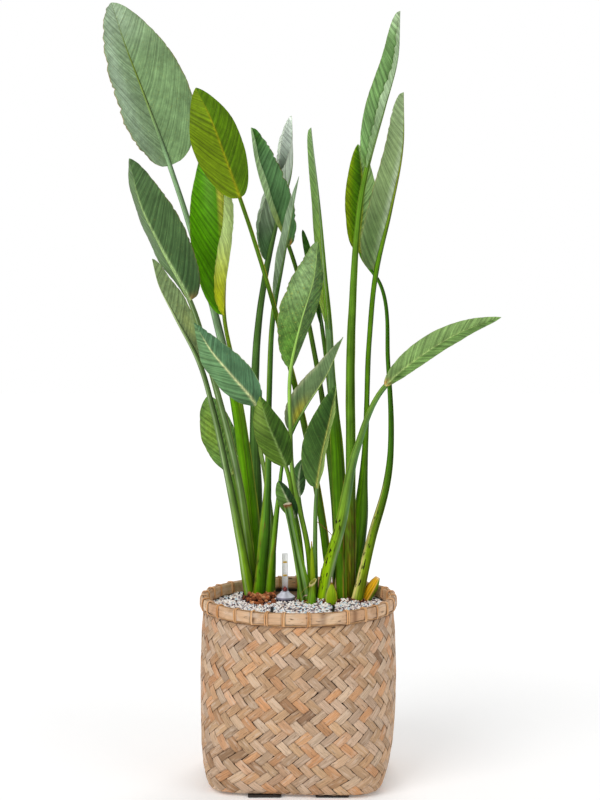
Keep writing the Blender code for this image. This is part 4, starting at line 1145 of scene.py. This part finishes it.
        foot=(3.35, 6.3, 0.5), neck=0.38, stalk=((3.2, 4.0, 44.0), (3.3, 1.5, 52.0)),
        blade=((3.5, 0.0, 55.3), (4.5, -1.6, 62.0), (6.0, -2.6, 69.0), (7.1, -2.0, 75.2)), half=(4.1, 3.3),
        belly=0.42, blunt=0.42, tip=0.8, fold=(-5, (81, 84, 82)), curl=(-8, -5), wave=2.0, bites=(0.6, 0.8),
        paint=("4a6e2e", "92ac5c", "c4c468", "b4bc70"), stalk_paint=("5e8438", "5c7c44"),
        patches=((-0.3, 0.75, 0.6, 0.4, "26441a", 0.7), (-0.4, 0.1, 0.8, 0.2, "54763a", 0.5)),
    ),
    "middle_leaf_5": dict(
        foot=(0.1, 6.7, 0.4), neck=0.3, stalk=((0.2, 5.6, 42.0), (-0.2, 4.4, 46.5)),
        blade=((-0.6, 3.7, 49.0), (-1.6, 2.8, 51.6), (-2.8, 2.4, 54.2), (-3.8, 2.6, 56.4)), half=(1.9, 1.6),
        belly=0.5, tip=0.6, fold=(5, 15), curl=(10, 20), wave=2.0, bites=(0.5, 0.6),
        paint=("567a36", "24421e", "a4b488", "7c7440"), stalk_paint=("5c8826", "52782e"),
    ),
    "right_leaf_1": dict(
        foot=(4.6, 5.3, 1.2), neck=0.5, taper=1.3,
        stalk=((6.0, 4.6, 40.0), (7.8, 2.4, 47.0), (11.0, -3.0, 63.4)),
        blade=((16.0, -8.0, 75.5), (22.0, -9.6, 80.9), (29.5, -10.4, 85.6), (37.1, -10.0, 88.4)),
        half=(2.8, 2.2), belly=0.4, tip=0.75, fold=(25, 60), curl=(-15, -20), wave=1.5, bites=(0.5, 0.5),
        paint=("83a360", "6e904e", "b4cc84", "8c7c48"), stalk_paint=("86ac05", "5e8030"),
        stripes=((0.9, 0.55, "5c8450", 0.85),), spots=(33, 52, 1.6), seam=(50.0, 35.0, 20, 60, "a8b088"),
        patches=((0, 0.0, 1.0, 0.045, "d4843a", 1.0), (0.4, 0.12, 0.6, 0.08, "46642a", 0.7)),
    ),
    "right_leaf_2": dict(
        foot=(6.6, 7.0, 0.8), neck=0.38, stalk=((4.0, 7.6, 51.8), (-2.0, 2.0, 80.0)),
        blade=((-10.8, -3.0, 110.0), (-13.6, -5.0, 117.9), (-16.0, -5.4, 124.4), (-18.8, -4.4, 130.2)),
        half=(5.3, 4.1), belly=0.5, blunt=0.45, tip=0.72, fold=(-12, -5), curl=(0, -10), wave=1.5,
        bites=(0.2, 0.2), paint=("66800a", "4c6e06", "8a8c10", "7c7c14"), stalk_paint=("4a7603", "486a10"),
        stripes=((0.92, 0.16, "a8a018", 0.85),),
    ),
    "right_leaf_3": dict(
        foot=(8.3, 9.8, 0.8), neck=0.4, stalk=((6.4, 10.6, 57.3), (3.2, 10.3, 79.5)),
        blade=((-1.8, 9.3, 100.6), (-5.4, 8.3, 109.2), (-8.0, 7.9, 117.2), (-9.0, 8.2, 123.2)),
        half=(2.4, 4.4), belly=0.45, tip=0.55, fold=((10, 30, 45), 0), curl=(170, -10), wave=3.0,
        bites=(0.3, 4.0), paint=("a8c488", "5f8a56", "8c9c50", "7c5c34"), back=("7c8c2c", "90ae7c"),
        stalk_paint=("4a7603", "4c6c20"),
        patches=((0.4, 0.95, 0.8, 0.12, "346414", 0.8), (0.5, 0.02, 0.2, 0.025, "c0742c", 0.8)),
    ),
    "right_leaf_4": dict(
        foot=(8.4, 5.8, 0.95), neck=0.75, sheath=(56, 1.35, 12), stalk=((7.4, 6.0, 62.0), (6.3, 6.0, 76.0)),
        blade=((5.8, 6.0, 85.0), (5.0, 6.0, 95.0), (4.0, 6.2, 108.0), (2.4, 8.0, 123.2)), half=(3.7, 3.0),
        belly=0.2, tip=0.32, fold=((-66, -66, -58), 95), wave=1.0, bites=(0.4, 0.4),
        paint=("84b04c", "6c9838", "88b048", "a87c34"), stalk_paint=("4e7c03", "6a8a56"),
        change=(0.64, 0.78), stripes=((0.98, 0.16, "7ca018", 0.8), (-0.2, 0.2, "2c5404", 0.5)),
        seam=(66.0, 35.0, 30, 70, "96682c", 0.035),
        patches=((0, 0.12, 1.5, 0.3, "84a41a", 0.85), (0, 0.95, 1.5, 0.35, "7c9c68", 0.7)),
    ),
    "right_leaf_5": dict(
        foot=(6.2, 10.6, 0.7), neck=0.4, stalk=((7.6, 13.0, 50.0), (5.9, 12.4, 74.0)),
        blade=((4.6, 11.8, 84.6), (3.5, 11.5, 92.0), (2.2, 11.3, 98.5), (0.8, 11.3, 103.8)),
        half=(1.4, 1.3), belly=0.35, tip=0.5, fold=((60, 40, 25), (100, 60, 40)), wave=0.5,
        bites=(0.2, 0.2), paint=("3f6a24", "36601e", "5c8040", "6c7a34"), stalk_paint=("3e6803", "42661c"),
    ),
    "right_leaf_6": dict(
        foot=(10.0, 7.8, 0.98), neck=0.5, taper=1.8, sheath=(43, 1.15, 8),
        stalk=((10.0, 5.4, 60.0), (10.1, 4.6, 86.0)),
        blade=((12.9, 4.0, 115.6), (16.1, 3.6, 126.8), (18.6, 4.2, 136.0), (19.1, 6.4, 144.9)),
        half=(3.6, 1.5), belly=0.4, tip=0.5, fold=(12, (150, 135, 118)), curl=(-10, 15), wave=3.0,
        bites=(0.4, 4.5), paint=("749c5c", "86a670", "90b068", "a09448"), back=("7c9c64", "a4be94"),
        stalk_paint=("5e7a04", "567e1c"), mottle=(34, 54, "5c4a14", 0.75),
        seam=(48.0, 34.0, 80, 110, "a89428", 0.045),
        patches=((0, 1.0, 1.5, 0.12, "b4c8a4", 0.8), (0, 0.0, 1.5, 0.1, "4c6c24", 0.8)),
    ),
    "right_leaf_7": dict(
        foot=(10.9, 9.4, 0.7), neck=0.5, taper=0.55, sheath=(46, 1.5, 9),
        stalk=((13.0, 10.4, 63.3), (13.6, 9.8, 82.0)),
        blade=((14.9, 9.2, 95.9), (17.6, 8.4, 107.5), (19.9, 8.2, 120.0), (20.0, 10.0, 129.9)),
        half=(4.5, 3.0), belly=0.22, blunt=0.36, tip=0.45, fold=(10, (-140, -120, -85)), curl=(-8, 0),
        under=True, wave=2.0, bites=(1.6, 0.4), paint=("88a06a", "7c9464", "6c7824", "a89858"),
        stalk_paint=("4c7c02", "507c0c"), seam=(56.0, 34.0, 160, 120, "b09a24", 0.05),
        patches=(
            (-0.4, 0.95, 1.0, 0.2, "a0b888", 0.6), (-0.14, 0.35, 0.1, 0.35, "c4d4b8", 0.6),
            (-0.6, 0.12, 0.55, 0.3, "587440", 0.8), (0, 0.0, 0.3, 0.025, "7c4c1c", 0.9),
        ),
    ),
    "right_leaf_8": dict(
        foot=(11.2, 5.5, 1.1), neck=0.35, taper=0.65,
        stalk=((14.0, 7.4, 44.0), (17.2, 10.4, 55.0), (17.5, 15.6, 78.0), (15.9, 17.2, 93.2)),
        blade=((12.1, 17.4, 99.1), (12.4, 17.5, 107.0), (12.4, 17.6, 113.5), (11.6, 18.4, 120.2)),
        half=(3.4, 3.2), belly=0.48, tip=0.7, fold=(0, 25), curl=(0, 20), wave=1.5, bites=(0.3, 0.3),
        paint=("4a7a02", "88a868", "8c9428", "8c8428"), stalk_paint=("7a9c04", "3a680c"),
        mottle=(34, 41, "8a5c1c", 0.3), spots=(33, 52, 1.6), seam=(58.0, 33.0, 132, 142, "e8d488", 0.46),
        patches=((-0.95, 0.5, 0.3, 0.9, "90a80c", 0.7), (-0.1, 0.5, 0.25, 0.6, "305404", 0.8)),
    ),
}
STALK_SIDES = 28
STALK_PITCH = 9 * MM
BLADE_PITCH = 4.5 * MM
# Where the blade's points are from its midrib, 0, to its margin, 1.
BLADE_PLACES = np.array((0, 0.025, 0.06, 0.12, 0.22, 0.34, 0.47, 0.6, 0.72, 0.82, 0.9, 0.96, 1.0))
BASE_BLUNT = 0.55
TIP_WIDTH = 0.02
MIDRIB_THICK, MARGIN_THICK = 0.7 * MM, 0.35 * MM
HEAP_TOPS = {"left": 0.3343, "middle": 0.3283, "right": 0.3283}
FOOT_DEPTH = 6 * MM
CLAY_LEVEL = 0.33
# The colour of a blade's far side, where it isn't given: of an upper side, and of a paler under side.
UPPER_BACK, UNDER_BACK = ("4c7a34", "4c7a34"), ("8fae84", "8fae84")


def smooth_curve(points):
    """A smooth curve through the points: a function from distances along it, and the points' distances."""
    chords = np.linalg.norm(np.diff(points, axis=0), axis=1)
    knots = np.concatenate([[0], np.cumsum(chords)])
    slopes = np.diff(points, axis=0) / chords[:, None]
    before, after = chords[:-1, None], chords[1:, None]
    inner = (slopes[:-1] * after + slopes[1:] * before) / (before + after)
    tangents = np.concatenate([slopes[:1], inner, slopes[-1:]])

    def place(distance):
        distance = np.asarray(distance, float)
        i = np.clip(np.searchsorted(knots, distance, side="right") - 1, 0, len(chords) - 1)
        length = chords[i]
        t = (distance - knots[i]) / length
        parts = (
            (points[i], (1 + 2 * t) * (1 - t) ** 2),
            (tangents[i], length * t * (1 - t) ** 2),
            (points[i + 1], t**2 * (3 - 2 * t)),
            (tangents[i + 1], length * t**2 * (t - 1)),
        )
        return sum(vector * share[..., None] for vector, share in parts)

    return place, knots


def directions(place, distance):
    """To the right of the leaf and out of its face, at each distance."""
    step = 2 * MM
    along = unit(place(distance + step) - place(distance - step))
    side = unit(np.cross(along, FRONT))
    return side, np.cross(side, along)


def leaf_curve(name, leaf):
    """The curve of the whole leaf, with the distances to its blade's base and tip."""
    foot = (*leaf["foot"][:2], (HEAP_TOPS[name.split("_")[0]] - FOOT_DEPTH) / CM)
    place, knots = smooth_curve(np.array([foot, *leaf["stalk"], *leaf["blade"]]) * CM)
    return place, knots[len(leaf["stalk"]) + 1], knots[-1]


def stalk_half(leaf, share, height):
    """The stalk's half width at parts of the way to the blade, and at those heights."""
    taper = 0.5 - 0.5 * np.cos(math.pi * np.clip(share, 0, 1) ** leaf.get("taper", 1))
    half = mix(leaf["foot"][2], leaf["neck"], taper) * CM
    if "sheath" in leaf:
        middle, wide, reach = (value * CM for value in leaf["sheath"])
        half = mix(half, wide, bell(height, middle, reach))
    extra, reach = (value * CM for value in leaf.get("flare", (0, 1)))
    return half + extra * bell(height, CLAY_LEVEL, reach)


def between(height, bottom, top, rise, fall):
    """1 from bottom + rise to top - fall, and 0 above top. All are in centimetres, but height."""
    return smooth(bottom, bottom + rise, height / CM) * (1 - smooth(top - fall, top, height / CM))


def add_stalk(builder, leaf, number, place, base, end):
    """The stalk from its foot to the blade, and on as the midrib to the leaf's tip.

    It is round on the leaf's under side, and channelled on the upper side.
    """
    distance = np.linspace(0, end, int(end / STALK_PITCH))
    side, face = directions(place, distance)
    places = place(distance)
    on_blade = np.clip((distance - base) / (end - base), 0, 1)[:, None]
    distance = distance[:, None]
    turns = (np.arange(STALK_SIDES) + 0.5) * math.tau / STALK_SIDES
    x, y = np.cos(turns), np.sin(turns)
    under = "under" in leaf
    rounded = 1 if under else -1
    half = np.maximum(stalk_half(leaf, distance / base, places[:, 2:]) * (1 - on_blade) ** 1.25, 0.5 * MM)
    channel = smooth(0.0, 0.25, distance / base) * 0.85 + 0.25
    hollow = np.where(np.sign(y) == rounded, 1.0, 1 - channel * (0.4 + 0.9 * np.abs(y)))
    sink = 0.35 * rounded * smooth(0, 0.04, on_blade)
    rise = half * (mix(0.8, 0.62, on_blade) * y * hollow + sink)
    wide = half * x * (1 + 0.03 * wobble(number, distance * 3 + x, 4))
    rings = places[:, None] + side[:, None] * wide[..., None] + face[:, None] * rise[..., None]
    height = rings[..., 2]

    low, high = (srgb(code) for code in leaf["stalk_paint"])
    tone = mix(low, high, smooth(*leaf.get("change", (0.36, 0.62)), places[:, 2:, None]))
    tone = tint(tone, leaf["paint"][2], smooth(0.0, 0.6 if under else 0.1, on_blade))
    # Painted light from the left: a painted highlight left of the middle, and painted shade on the right and
    # far left.
    lit = 1.26 - 0.86 * smooth(0.0, 0.85, x) - 0.42 * smooth(-0.65, -1.0, x) + 0.52 * bell(x, -0.45, 0.2)
    tone = tone * lit[:, None]
    # A painted highlight along both edges of the channel.
    tone = tint(tone, "a4b834", 0.55 * smooth(0.88, 0.98, np.abs(x)) * (np.sign(y) != rounded))
    # Bands along the stalk, among them painted highlights and painted shade.
    for middle, reach, code, strength in leaf.get("stripes", ()):
        tone = tint(tone, code, strength * bell(x, middle, reach))
    if "mottle" in leaf:
        bottom, top, code, strength = leaf["mottle"]
        drift = 0.5 + 0.5 * wobble(number + 90, height / CM * 0.1 + 1.7 * x, 4)
        tone = tint(tone, code, np.clip(strength * between(height, bottom - 3, top, 5, 6) * drift, 0, 1))
    spots = 0.0
    if "spots" in leaf:
        bottom, top, amount = leaf["spots"]
        spots = amount * between(height, bottom, top, 4, 5) * smooth(0.5, -0.3, x)
    if "seam" in leaf:
        tone, rings = add_seam(leaf["seam"], rings, places, tone, turns, number)
    grain = stacked(turns * 8 * MM, distance + number * 0.7, spots)
    ring_body(builder, rings, tone, grain, kind=2)


def add_seam(seam, rings, places, tone, turns, number):
    """The papery margin of the leaf's sheath, which crosses the stalk's front on its way down."""
    top, bottom, high_angle, low_angle, code, *grown = seam
    height = places[:, 2:] / CM
    share = np.clip((top - height) / (top - bottom), 0, 1)
    line = np.radians(mix(high_angle, low_angle, share)) + 0.06 * wobble(number + 60, height / 100, 40)
    reach = 1 - smooth(top - 1, top + 3, height)
    width = (grown[0] * share if grown else 0.06) + 0.08 * share + 0.001
    mask = bell(turns, line, width) * reach
    covered = (turns < line) * reach
    tone = tint(tone * (1 - 0.12 * covered[..., None]), code, 0.85 * mask)
    return tone, rings + unit(rings - places[:, None]) * (mask * 0.7 * MM)[..., None]


def blade_width(t, belly, blunt, tip):
    """The blade's width from its base to its tip, as a part of its full width."""
    low = np.sin(math.pi / 2 * np.clip(t / belly, 0, 1)) ** blunt
    high = np.maximum(TIP_WIDTH, np.cos(math.pi / 2 * np.clip((t - belly) / (1 - belly), 0, 1)) ** tip)
    return np.where(t < belly, low, high)


def blade_half(leaf, which, t, side, face, number):
    """Places, normals and distances, from the midrib, of one half of the blade. which is 0 for left."""
    sign = 1 if which else -1
    blunt = leaf.get("blunt", BASE_BLUNT)
    half = leaf["half"][which] * CM * blade_width(t, leaf["belly"], blunt, leaf["tip"])
    bite = np.clip(wobble(number * 7 + which, t, 26) - 0.1, 0, 1) ** 0.7
    torn = leaf["bites"][which] * MM * (bite + 0.25 * wobble(number * 5 + which, t, 60))
    half = np.maximum(half - torn * np.sin(math.pi * t) ** 0.3, 0.4 * MM)[:, None]
    spread = BLADE_PLACES ** leaf.get("roll", (1, 1))[which]
    fold = np.interp(t, (0, 0.5, 1), np.broadcast_to(leaf["fold"][which], 3))[:, None]
    curl = leaf.get("curl", (0, 0))[which]
    angle = np.radians(fold + curl * (spread[1:] + spread[:-1]) / 2)
    steps = half * np.diff(BLADE_PLACES)
    turns = (np.cos(angle), np.sin(angle))
    out, rise = (np.pad(np.cumsum(steps * turn, 1), ((0, 0), (1, 0))) for turn in turns)
    tilt = np.radians(fold + curl * spread)[..., None]
    normal = face[:, None] * np.cos(tilt) - sign * side[:, None] * np.sin(tilt)
    t = t[:, None]
    wave = leaf["wave"] * MM * BLADE_PLACES**2 * wobble(number * 3 + which, number * 0.37 + t * 6, 0.55)
    wave = wave * np.minimum(1, half / (2 * CM)) * np.sin(math.pi * np.clip(t, 0.02, 0.98)) ** 0.3
    point = side[:, None] * (sign * out)[..., None] + face[:, None] * rise[..., None]
    point = point + normal * wave[..., None]
    return point, normal, BLADE_PLACES * half * sign


def add_blade(builder, leaf, number, place, base, end):
    """The blade's two halves, with a side in each of the leaf's two materials."""
    rows = max(12, int((end - base) / BLADE_PITCH))
    even = np.linspace(0, 1, rows)
    t = np.clip(mix(even, 0.5 - 0.5 * np.cos(math.pi * even**0.9), 0.35), 0, 1)
    distance = mix(base, end, t)
    side, face = directions(place, distance)
    left, right = (blade_half(leaf, which, t, side, face, number) for which in (0, 1))
    points, normals, across = (np.concatenate([b[:, :0:-1], a], 1) for a, b in zip(left, right))
    points = place(distance)[:, None] + points
    middle = len(BLADE_PLACES) - 1
    normals[:, middle] = unit(left[1][:, 0] + right[1][:, 0])
    shares = np.concatenate([BLADE_PLACES[:0:-1], -BLADE_PLACES])
    lift = normals * (mix(MIDRIB_THICK, MARGIN_THICK, np.abs(shares)) / 2)[:, None]
    paint = blade_paint(leaf, t[:, None], shares, across, number)
    codes = leaf.get("back", UPPER_BACK if "under" in leaf else UNDER_BACK)
    low, high = (srgb(code) for code in codes)
    far = mix(low, high, smooth(0.1, 0.5, t)[:, None, None])
    far = mix(paint, far, 0.88 if "back" in leaf else 0.45)
    grain = stacked(across, (t * (end - base))[:, None] + number, leaf.get("blotch", 0.15))
    kinds = (1, 0) if "under" in leaf else (0, 1)
    sheet(builder, (points + lift, points - lift), (paint, far), grain, kinds, turned=True)


def blade_paint(leaf, v, u, across, number):
    """The colour at u across the blade, from -1 to 1, and v along it."""
    left, right, rib, margin = leaf["paint"]
    paint = tint(srgb(left), right, smooth(-0.02, 0.02, u))
    drift = 1 + 0.1 * wobble(number + 20, v + u * 0.3, 3) + 0.05 * wobble(number + 40, u + v, 7)
    paint = paint * drift[..., None]
    for u0, v0, du, dv, code, strength in leaf.get("patches", ()):
        paint = tint(paint, code, np.clip(1.2 * strength * bell(u, u0, du) * bell(v, v0, dv), 0, 1))
    rib_tone = srgb(rib)
    if "under" in leaf:
        rib_tone = mix(srgb(leaf["stalk_paint"][1]), rib_tone, smooth(0.0, 0.6, v)[..., None])
    near_rib = 0.95 * (1 - smooth(0.7, 0.95, v)) * bell(across, 0, mix(2.6, 0.7, v) * MM)
    paint = mix(paint, rib_tone, near_rib[..., None])
    torn = np.where(u < 0, *leaf["bites"])
    brown = np.clip(wobble(number + 80, v + u * 0.02, 30) * 0.5 + 0.5 + torn * 0.15, 0, 1)
    return tint(paint, margin, smooth(0.955, 1.0, np.abs(u)) * brown * np.clip(0.45 + torn * 0.25, 0, 1))


def make_leaves():
    for number, (name, leaf) in enumerate(LEAVES.items()):
        builder = Builder()
        curve = leaf_curve(name, leaf)
        add_stalk(builder, leaf, number, *curve)
        add_blade(builder, leaf, number, *curve)
        builder.piece(name.replace("leaf", "foliage"), ["leaf_top", "leaf_under", "stalk"], "leaf", [name])


# ---------------------------------------------------------------- old stubs and young shoots

STUB_SIDES = 28
STUB_RINGS = 26


def grooved(rings, turns, shares, face):
    """A channel down the front, deepest at the foot."""
    depth = bell(turns, 1.8, 0.4) * mix(5.5, 2.6, shares) * MM
    return rings - face * depth[..., None]


def slanted(rings, turns, shares, face):
    """A top that is cut at a slant."""
    lift = (np.cos(turns) * 5.5 - np.sin(turns) * 3.0) * smooth(0.3, 1, shares) * MM
    return rings + lift[..., None] * (0, 0, 1)


def on_flat(turns):
    """0 beside the flat face of a sliced stub, and higher towards its middle."""
    return np.clip(np.cos(turns - 2.2) - 0.25, 0, 1)


def sliced(rings, turns, shares, face):
    """A flat face down the left of the front."""
    depth = on_flat(turns) * mix(1.0, 5.0, shares) * MM
    return rings - unit(np.array([-0.75, -0.65, 0.1])) * depth[..., None]


# some are painted highlights and painted shade
# For each node:
#   piece    the piece's name and slot
#   ends     its foot and its top, in centimetres
#   widths   half its width at even steps between them; depth is its depth as a part of that at both ends
#   colours  at the foot and the top, with the power of the share of the way between them
#   bands    of colour along it: place round the stub, reach, colour and strength
#   tips     of colour: the two shares of the way up between which it sets in, the colour and its strength
#   grain    the length of the pattern, the place in it, and how spotted it is
#   cut      a cut end: its inner width, its depth, and the colours of its rim and its inside
STUBS = {
    "old_cut_stalk": dict(
        piece=("old_stalk_cut_off", "stalk"), ends=((1.7, 5.8, 32.3), (-2.1, 1.9, 52.0)), shape=grooved,
        widths=(1.15, 1.15, 1.0, 0.85, 0.75, 0.72, 0.84), depth=(0.85, 0.85), colours=("72a416", "54882c"),
        bands=(
            # The grey-green bands beside the groove are painted highlights, and the near-black band painted
            # shade in it.
            (2.75, 0.2, "94b824", 0.8), (2.35, 0.14, "8aa878", 0.6), (1.95, 0.25, "14300a", 0.85),
            (1.35, 0.22, "94b080", 0.75), (0.5, 0.35, "74a018", 0.7),
        ),
        tips=((0.955, 1.0, "7a3c24", 1.0),), grain=(0.2, 3, 0.0), cut=(0.6, 6 * MM, "8a4c30", "e4d8bc"),
    ),
    "hollow_stub": dict(
        piece=("hollow_stub_cut", "stalk"), ends=((2.4, 4.2, 32.2), (2.75, 3.9, 36.6)), shape=slanted,
        widths=(1.0, 0.95, 0.8, 0.62, 0.6, 0.74), depth=(0.85, 0.85), colours=("6ca018", "a4b828"), power=3,
        bands=((2.0, 0.35, "86a848", 0.6), (0.2, 0.5, "2c5008", 0.8)), tips=((0.88, 0.96, "f0e0a0", 1.0),),
        grain=(0.05, 5, 0.1), cut=(0.6, 14 * MM, "fcf0b4", "a4a63c"),
    ),
    "cut_sheath": dict(
        piece=("sheath_cut", "dry_sheath"), ends=((12.7, 6.8, 32.2), (15.3, 6.2, 37.0)), shape=sliced,
        widths=(0.9, 1.1, 1.15, 1.1, 0.9, 0.5), depth=(0.8, 0.6), colours=("5c8c0c", "7ca014"),
        bands=((1.15, 0.1, "e0b878", 0.9), (3.1, 0.2, "8a4c1c", 0.7)), tips=((0.9, 1.0, "e8c8a0", 0.8),),
        flat="d8a414", grain=(0.06, 7, 0.25),
    ),
    "flower_bud": dict(
        piece=("bud_closed", "stalk"), ends=((6.3, 4.0, 32.0), (6.4, 3.8, 37.5)),
        widths=(0.75, 1.02, 1.15, 1.18, 1.12, 1.0, 0.82, 0.58, 0.34, 0.18, 0.13, 0.04), depth=(0.8, 0.8),
        colours=("84a80a", "a4bc20"), grain=(0.05, 9, 0.2),
        # The pale yellow band on its left is a painted highlight.
        bands=((2.75, 0.2, "d0d070", 0.9), (0.35, 0.16, "b07c2c", 0.9), (1.3, 0.3, "88b410", 0.6)),
        tips=((0.72, 0.79, "8a5c24", 1.0), (0.8, 0.86, "e8dcd4", 1.0)),
    ),
    "young_shoot": dict(
        piece=("shoot_rolled", "stalk"), ends=((2.95, 5.15, 32.4), (2.5, 4.4, 44.4)),
        widths=(0.42, 0.48, 0.5, 0.48, 0.4, 0.26, 0.06), depth=(0.8, 0.8), colours=("90b00c", "8cac14"),
        bands=((2.2, 0.3, "b8cc30", 0.7), (0.4, 0.3, "5c8408", 0.8)), tips=((0.9, 0.98, "d89430", 1.0),),
        grain=(0.12, 11, 0.0),
    ),
    "dry_bract": dict(
        piece=("bract_dried", "dry_sheath"), ends=((4.2, 7.2, 32.4), (4.5, 7.2, 38.6)),
        widths=(0.5, 0.5, 0.46, 0.36, 0.2, 0.06), depth=(0.35, 0.35), colours=("7c8c1c", "98982c"),
        bands=((2.9, 0.3, "5c4c14", 0.8), (0.2, 0.3, "6a5418", 0.8)), grain=(0.06, 13, 0.5),
    ),
}
CUT_FLOOR = "6a5a2c"
# The paths of torn bits of dry sheath, in centimetres, with their width in millimetres and their colour.
TORN_BITS = (
    (((0.5, 3.6, 34.3), (1.3, 3.4, 35.4), (2.3, 3.3, 35.9)), 1.6, "c8a840"),
    (((0.3, 3.9, 32.6), (0.5, 3.5, 33.8), (0.4, 3.6, 34.6)), 1.8, "9ca830"),
    (((0.7, 3.6, 33.2), (1.2, 3.1, 34.1), (1.7, 3.5, 34.0)), 5.0, "e8c8b4"),
    (((0.9, 3.4, 32.5), (1.3, 3.1, 33.2), (1.8, 3.6, 33.0)), 3.0, "7c2c24"),
    (((1.2, 3.0, 32.4), (1.5, 2.9, 32.9), (1.9, 3.2, 32.6)), 2.4, "dcc448"),
)
LOOSE_THREAD = ((3.5, 3.4, 48.4), (4.8, 4.0, 47.2), (6.2, 4.4, 45.8), (7.6, 4.5, 43.2), (8.0, 4.4, 42.0))


def stub_grain(shares, length, seed, spots):
    return stacked(np.arange(STUB_SIDES) * 1.6 * MM, shares * length + seed, spots)


def add_cut_end(builder, ring, along, seed, hollow, deep, rim_code, inside_code):
    """A cut end: its rim, and the hollow behind it."""
    centre = ring.mean(0)
    spokes = ring - centre
    inner = spokes * hollow
    rim = spokes * mix(hollow, 1, 0.5) + along * 0.5 * MM
    rings = centre + np.array([spokes, rim, inner, inner * 0.9 - along * deep])
    codes = (rim_code, inside_code, inside_code, CUT_FLOOR)
    paint = np.repeat([srgb(code) for code in codes], STUB_SIDES, axis=0)
    faces = grid_faces(0, 4, STUB_SIDES, closed=True) + [list(range(3 * STUB_SIDES, 4 * STUB_SIDES))]
    builder.add(rings, faces, paint, stub_grain(np.linspace(0, 1, 4)[:, None], 0.01, seed, 0.0))


def add_stub(builder, stub):
    foot, top = np.array(stub["ends"]) * CM
    along = unit(top - foot)
    side = unit(np.cross(along, FRONT))
    face = np.cross(side, along)
    turns = (np.arange(STUB_SIDES) + 0.5) * math.tau / STUB_SIDES
    even = np.linspace(0, 1, STUB_RINGS)
    widths = np.interp(even, np.linspace(0, 1, len(stub["widths"])), stub["widths"]) * CM
    half = np.convolve(np.pad(widths, 1, mode="edge"), (0.25, 0.5, 0.25), mode="valid")[:, None]
    shares = even[:, None]
    x, y = np.cos(turns) * half, np.sin(turns) * half * mix(*stub["depth"], shares)
    rings = mix(foot, top, shares)[:, None] + x[..., None] * side + y[..., None] * face
    if "shape" in stub:
        rings = stub["shape"](rings, turns, shares, face)
    low, high = stub["colours"]
    tone = tint(np.broadcast_to(srgb(low), rings.shape), high, shares ** stub.get("power", 1))
    if "flat" in stub:
        tone = tint(tone, stub["flat"], smooth(0.05, 0.3, on_flat(turns)))
    # Bands round the stub, among them painted highlights and painted shade.
    for middle, reach, code, strength in stub["bands"]:
        tone = tint(tone, code, strength * bell(turns, middle, reach))
    for start, end, code, strength in stub.get("tips", ()):
        tone = tint(tone, code, strength * smooth(start, end, shares))
    length, seed, spots = stub["grain"]
    ring_body(builder, rings, tone, stub_grain(shares, length, seed, spots), caps="cut" not in stub)
    if "cut" in stub:
        add_cut_end(builder, rings[-1], along, seed, *stub["cut"])


def make_stubs():
    """The cut and young shoots, torn bits of sheath at their feet, and a thread of it between two stalks."""
    for node, stub in STUBS.items():
        builder = Builder()
        add_stub(builder, stub)
        if node == "dry_bract":
            for number, (path, width, code) in enumerate(TORN_BITS):
                points = soft_path(np.array(path) * CM, 14)
                strand(builder, points, width * MM, 0.5 * MM, (0.3, 0.9, 0.3), srgb(code), number)
        name, slot = stub["piece"]
        builder.piece(name, ["stalk"], slot, [node])
    builder = Builder()
    points = soft_path(np.array(LOOSE_THREAD) * CM, 24)
    strand(builder, points, 1.3 * MM, 0.9 * MM, (0.5, 0.5, 0.7), srgb("8a4a2c"), 1)
    builder.piece("loose_thread", ["stalk"], "dry_sheath")


# ---------------------------------------------------------------- all of it

MATERIALS = {
    "weave": fibre_material("woven_bamboo", 0.62, 0.42, cracks=0.55),
    "band": fibre_material("bamboo_band", 0.55, 0.24, 600.0, 18.0, cracks=0.95),
    "rattan": fibre_material("rattan_strand", 0.48, 0.2, 1500.0, 30.0, cracks=0.3),
    "pad": plain_material("dark_pad", "241a14", 0.6, 260.0, 0.2),
    "liner": plain_material("liner_plastic", "16130f", 0.5, 120.0, 0.2),
    "stone": painted_material("gravel_stone", 0.7, 900.0, 0.9, 1.2),
    "gravel_bed": bed_material("gravel_bed", "4a3e44", "c8c0c0", 330.0),
    "clay": painted_material("fired_clay", 0.9, 500.0, 0.6, 1.25),
    "clay_bed": bed_material("clay_bed", "2c150c", "7a4228", 200.0),
    "leaf_top": leaf_material("leaf_upper_side", 0.42, 0.25, 0.09),
    "leaf_under": leaf_material("leaf_under_side", 0.5, 0.2, 0.11),
    "stalk": stalk_material("leaf_stalk"),
    "frosted": painted_material("frosted_plastic", 0.25, 160.0, 0.93, 1.06, 0.05 * MM),
    "clear": plain_material("clear_plastic", "f4f6fc", 0.12, 90.0, 0.02, 0.01 * MM, Alpha=0.03),
    "card": painted_material("scale_card", 0.5, 300.0, 0.97, 1.02, 0.02 * MM),
    "float": plain_material("red_float", "8c1006", 0.4, 200.0, 0.2),
}
# These CAD parts show as they are.
SHOWN = (("liner", "liner"), ("gauge_pipe", "liner"), ("substrate", "clay_bed"), ("gravel", "gravel_bed"))

set_camera_and_light()
set_floor()
for node, name in SHOWN:
    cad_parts[node].data.materials.clear()
    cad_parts[node].data.materials.append(MATERIALS[name])
make_basket()
make_hoop("rim_band_outer", OUTER_HOOP, 0.5 * MM, 41, "rim_outer_hoop")
make_hoop("rim_band_inner", INNER_HOOP, 0.3 * MM, 47, "rim_inner_hoop")
make_rattan()
make_feet()
make_gravel()
make_clay()
make_gauge()
make_leaves()
make_stubs()
